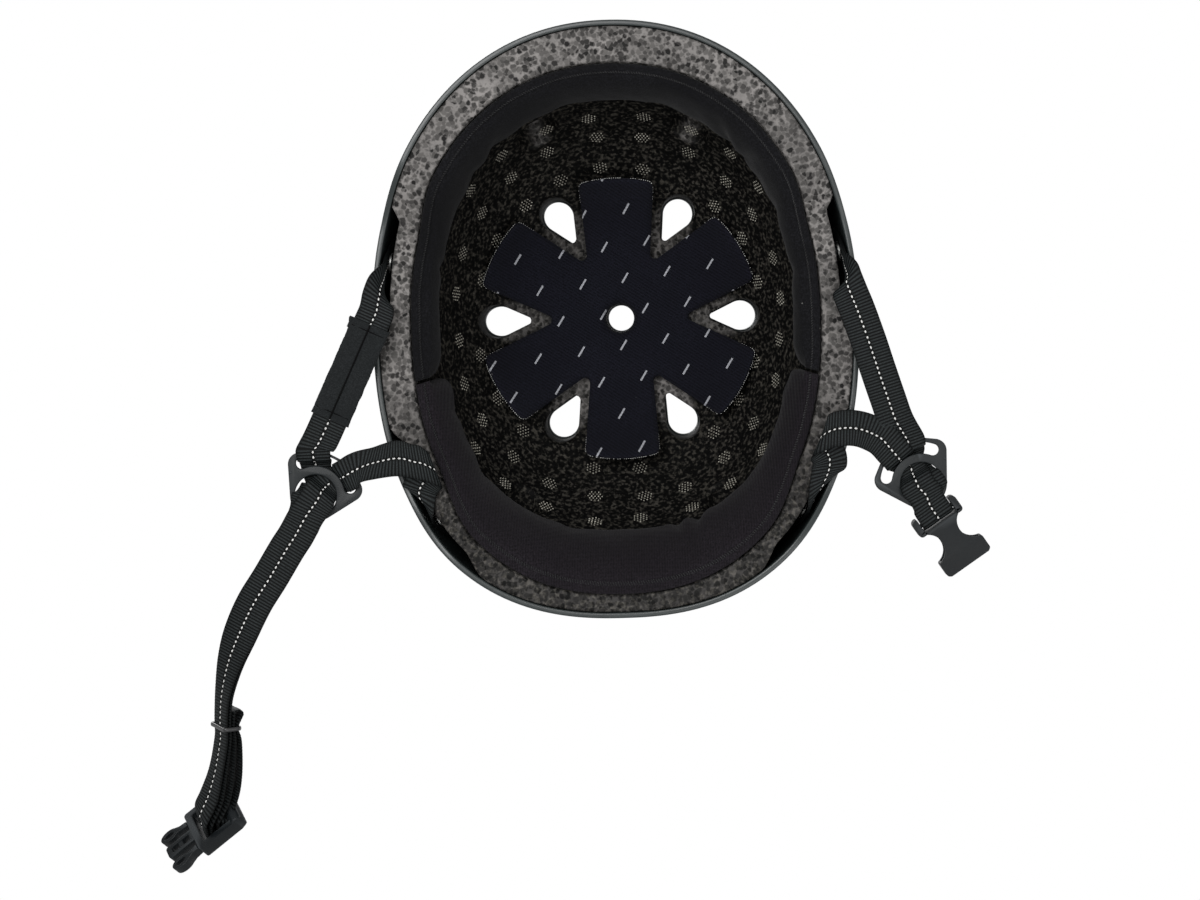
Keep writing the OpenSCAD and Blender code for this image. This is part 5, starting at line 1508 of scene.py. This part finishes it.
def makePlug():
    p = plug
    y1 = p["in"] + p["rail"]
    x1 = p["cross"] + p["crossL"]
    body = plate("plugBody", [rounded([(-p["end"], -y1 + 1, 1.6), (-p["end"] + 3, -y1, 1.5), (x1, -y1, 1.4),
        (x1, y1, 1.4), (-p["end"] + 3, y1, 1.5), (-p["end"], y1 - 1, 1.6)], 5),
        slab(-p["end"] + 4, p["cross"], p["in"], 0.8, 0.8, 4)], p["thick"], 0.9, buckleMat, 4)
    bar = tube("bar", [(0, y, 0) for y in np.linspace(-p["in"] - 1, p["in"] + 1, 9)], barR, buckleMat, 18)
    # the guide, a flat tongue with a slot down its middle
    tongue = plate("guide", [slab(x1 - 0.6, x1 + 14, 3.3, 0.2, 1.4, 5),
        slab(x1 + 2, x1 + 11.4, 1.5, 0.6, 0.6, 4)], p["arm"], 0.5, buckleMat)
    rib = plate("rib", [slab(x1 + 5.6, x1 + 7.8, 3.2, 0.4, 0.4, 3)], p["arm"] - 0.6, 0.25, buckleMat)
    # the grip, a wedge across the back that the loose end is pulled over
    grip = plate("grip", [rounded([(-14.2, -2.8, 0.8), (-14.7, 0.5, 1.5), (-12.6, 4.4, 1.2), (-10.8, 4.6, 1),
        (-8.4, 2.6, 1.5), (-7, 1.4, 1), (-5.8, -2.8, 0.6)], 4)], 2 * y1 - 0.2, 0.8, buckleMat, 3)
    grip.data.transform(Matrix(((1, 0, 0, 0), (0, 0, -1, 0), (0, 1, 0, 0), (0, 0, 0, 1))))
    return joined("plugFrame", [body, bar, tongue, rib, grip])


def makeArm(name, side):
    x0 = plug["cross"] + plug["crossL"] + plug["gap"]
    loop = [(9.4 + 4.6 * math.cos(t), 2.2 + 2.75 * math.sin(t), 0) for t in np.linspace(-2.5, 2.5, 28)]
    pts = [(0, 0, 0.4), (3.4, 0.4, 2)] + loop + [(3.4, 2.9, 2), (0, 2.6, 0.4)]
    outline = rounded([(x + x0, side * (y + 6.2), r) for x, y, r in pts], 5)
    hole = np.array([(x0 + 9.6 + 2.6 * x, side * (8.4 + 1.05 * y)) for x, y in circleOutline(1, 28)])
    return plate(name, [outline, hole], plug["arm"], 0.55, buckleMat, 4)


for name, maker, node, body in (("plugFrame", makePlug, "plug_frame", "plug"),
        ("lowerArm", lambda: makeArm("lowerArm", 1), "lower_latch_arm", "lower_latch"),
        ("upperArm", lambda: makeArm("upperArm", -1), "upper_latch_arm", "upper_latch")):
    piece = maker()
    placed(piece, tuple(plugAt), tuple(plugX), tuple(barW), tuple(plugZ))
    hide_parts(node)
    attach(piece, body)

# small hard parts keep their frame shape
for node, mat in (("rivets", buckleMat), ("washers", steelMat)):
    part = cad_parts[node]
    part.data.materials.clear()
    part.data.materials.append(mat)


# the hook tape follows the frame's dots, trimmed where a dot reaches past the foam's rim
def makeHookTape():
    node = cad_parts["hook_dots"]
    points = np.array([node.matrix_world @ v.co for v in node.data.vertices]) / mm
    low = rimZ(np.arctan2(points[:, 1], points[:, 0])) + form["recess"] + rims["hookLift"]
    points[:, 2] = np.maximum(points[:, 2], low)
    faces = [tuple(p.vertices) for p in node.data.polygons]
    piece = makeMesh("hookTape", points, faces, hookMat)
    sharpen(piece, 50)
    return piece


hookTape = makeHookTape()
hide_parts("hook_dots")
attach(hookTape, "helmet")
print("setting the stage")

# floor, seen only from above, and soft lights
floorMat = bpy.data.materials.new("paleFloor")
floorMat.use_nodes = True
tree = floorMat.node_tree
tree.nodes.clear()
matte = put(tree, "BsdfDiffuse", {"Color": (0.86, 0.86, 0.85, 1)})
clear = put(tree, "BsdfTransparent")
mixed = put(tree, "MixShader", {0: put(tree, "NewGeometry").outputs["Backfacing"], 1: matte.outputs[0],
    2: clear.outputs[0]})
tree.links.new(mixed.outputs[0], tree.nodes.new("ShaderNodeOutputMaterial").inputs[0])
floor = makeMesh("floor", [(-1800, -1800, -0.4), (1800, -1800, -0.4), (1800, 1800, -0.4),
    (-1800, 1800, -0.4)], [(0, 1, 2, 3)], floorMat)
for seen in ("visible_diffuse", "visible_glossy", "visible_transmission", "visible_shadow"):
    setattr(floor, seen, False)

world = bpy.data.worlds.new("studio")
world.use_nodes = True
bpy.context.scene.world = world
tree = world.node_tree
tree.nodes.clear()
path = put(tree, "LightPath").outputs["Is Camera Ray"]
light = put(tree, "Background", {"Color": (1, 1, 1, 1), "Strength": 0.5})
back = put(tree, "Background", {"Color": (1, 1, 1, 1), "Strength": 1.0})
mixed = put(tree, "MixShader", {0: path, 1: light.outputs[0], 2: back.outputs[0]})
tree.links.new(mixed.outputs[0], tree.nodes.new("ShaderNodeOutputWorld").inputs[0])


def areaLight(name, at, target, size, power):
    data = bpy.data.lights.new(name, "AREA")
    data.energy, data.size = power, size
    lamp = addObject(name, data)
    lamp.location = at
    lamp.rotation_euler = (Vector(target) - Vector(at)).to_track_quat("-Z", "Y").to_euler()


areaLight("belowKey", (-0.35, -0.3, -1.1), (0, 0, 0.05), 0.7, 9)
areaLight("belowFill", (0.5, 0.4, -1.0), (0, 0, 0.05), 0.9, 4)
areaLight("aboveKey", (-0.7, -0.6, 1.2), (0, 0, 0.05), 0.9, 12)
areaLight("aboveFill", (0.9, 0.6, 0.9), (0, 0, 0.05), 1.2, 5)
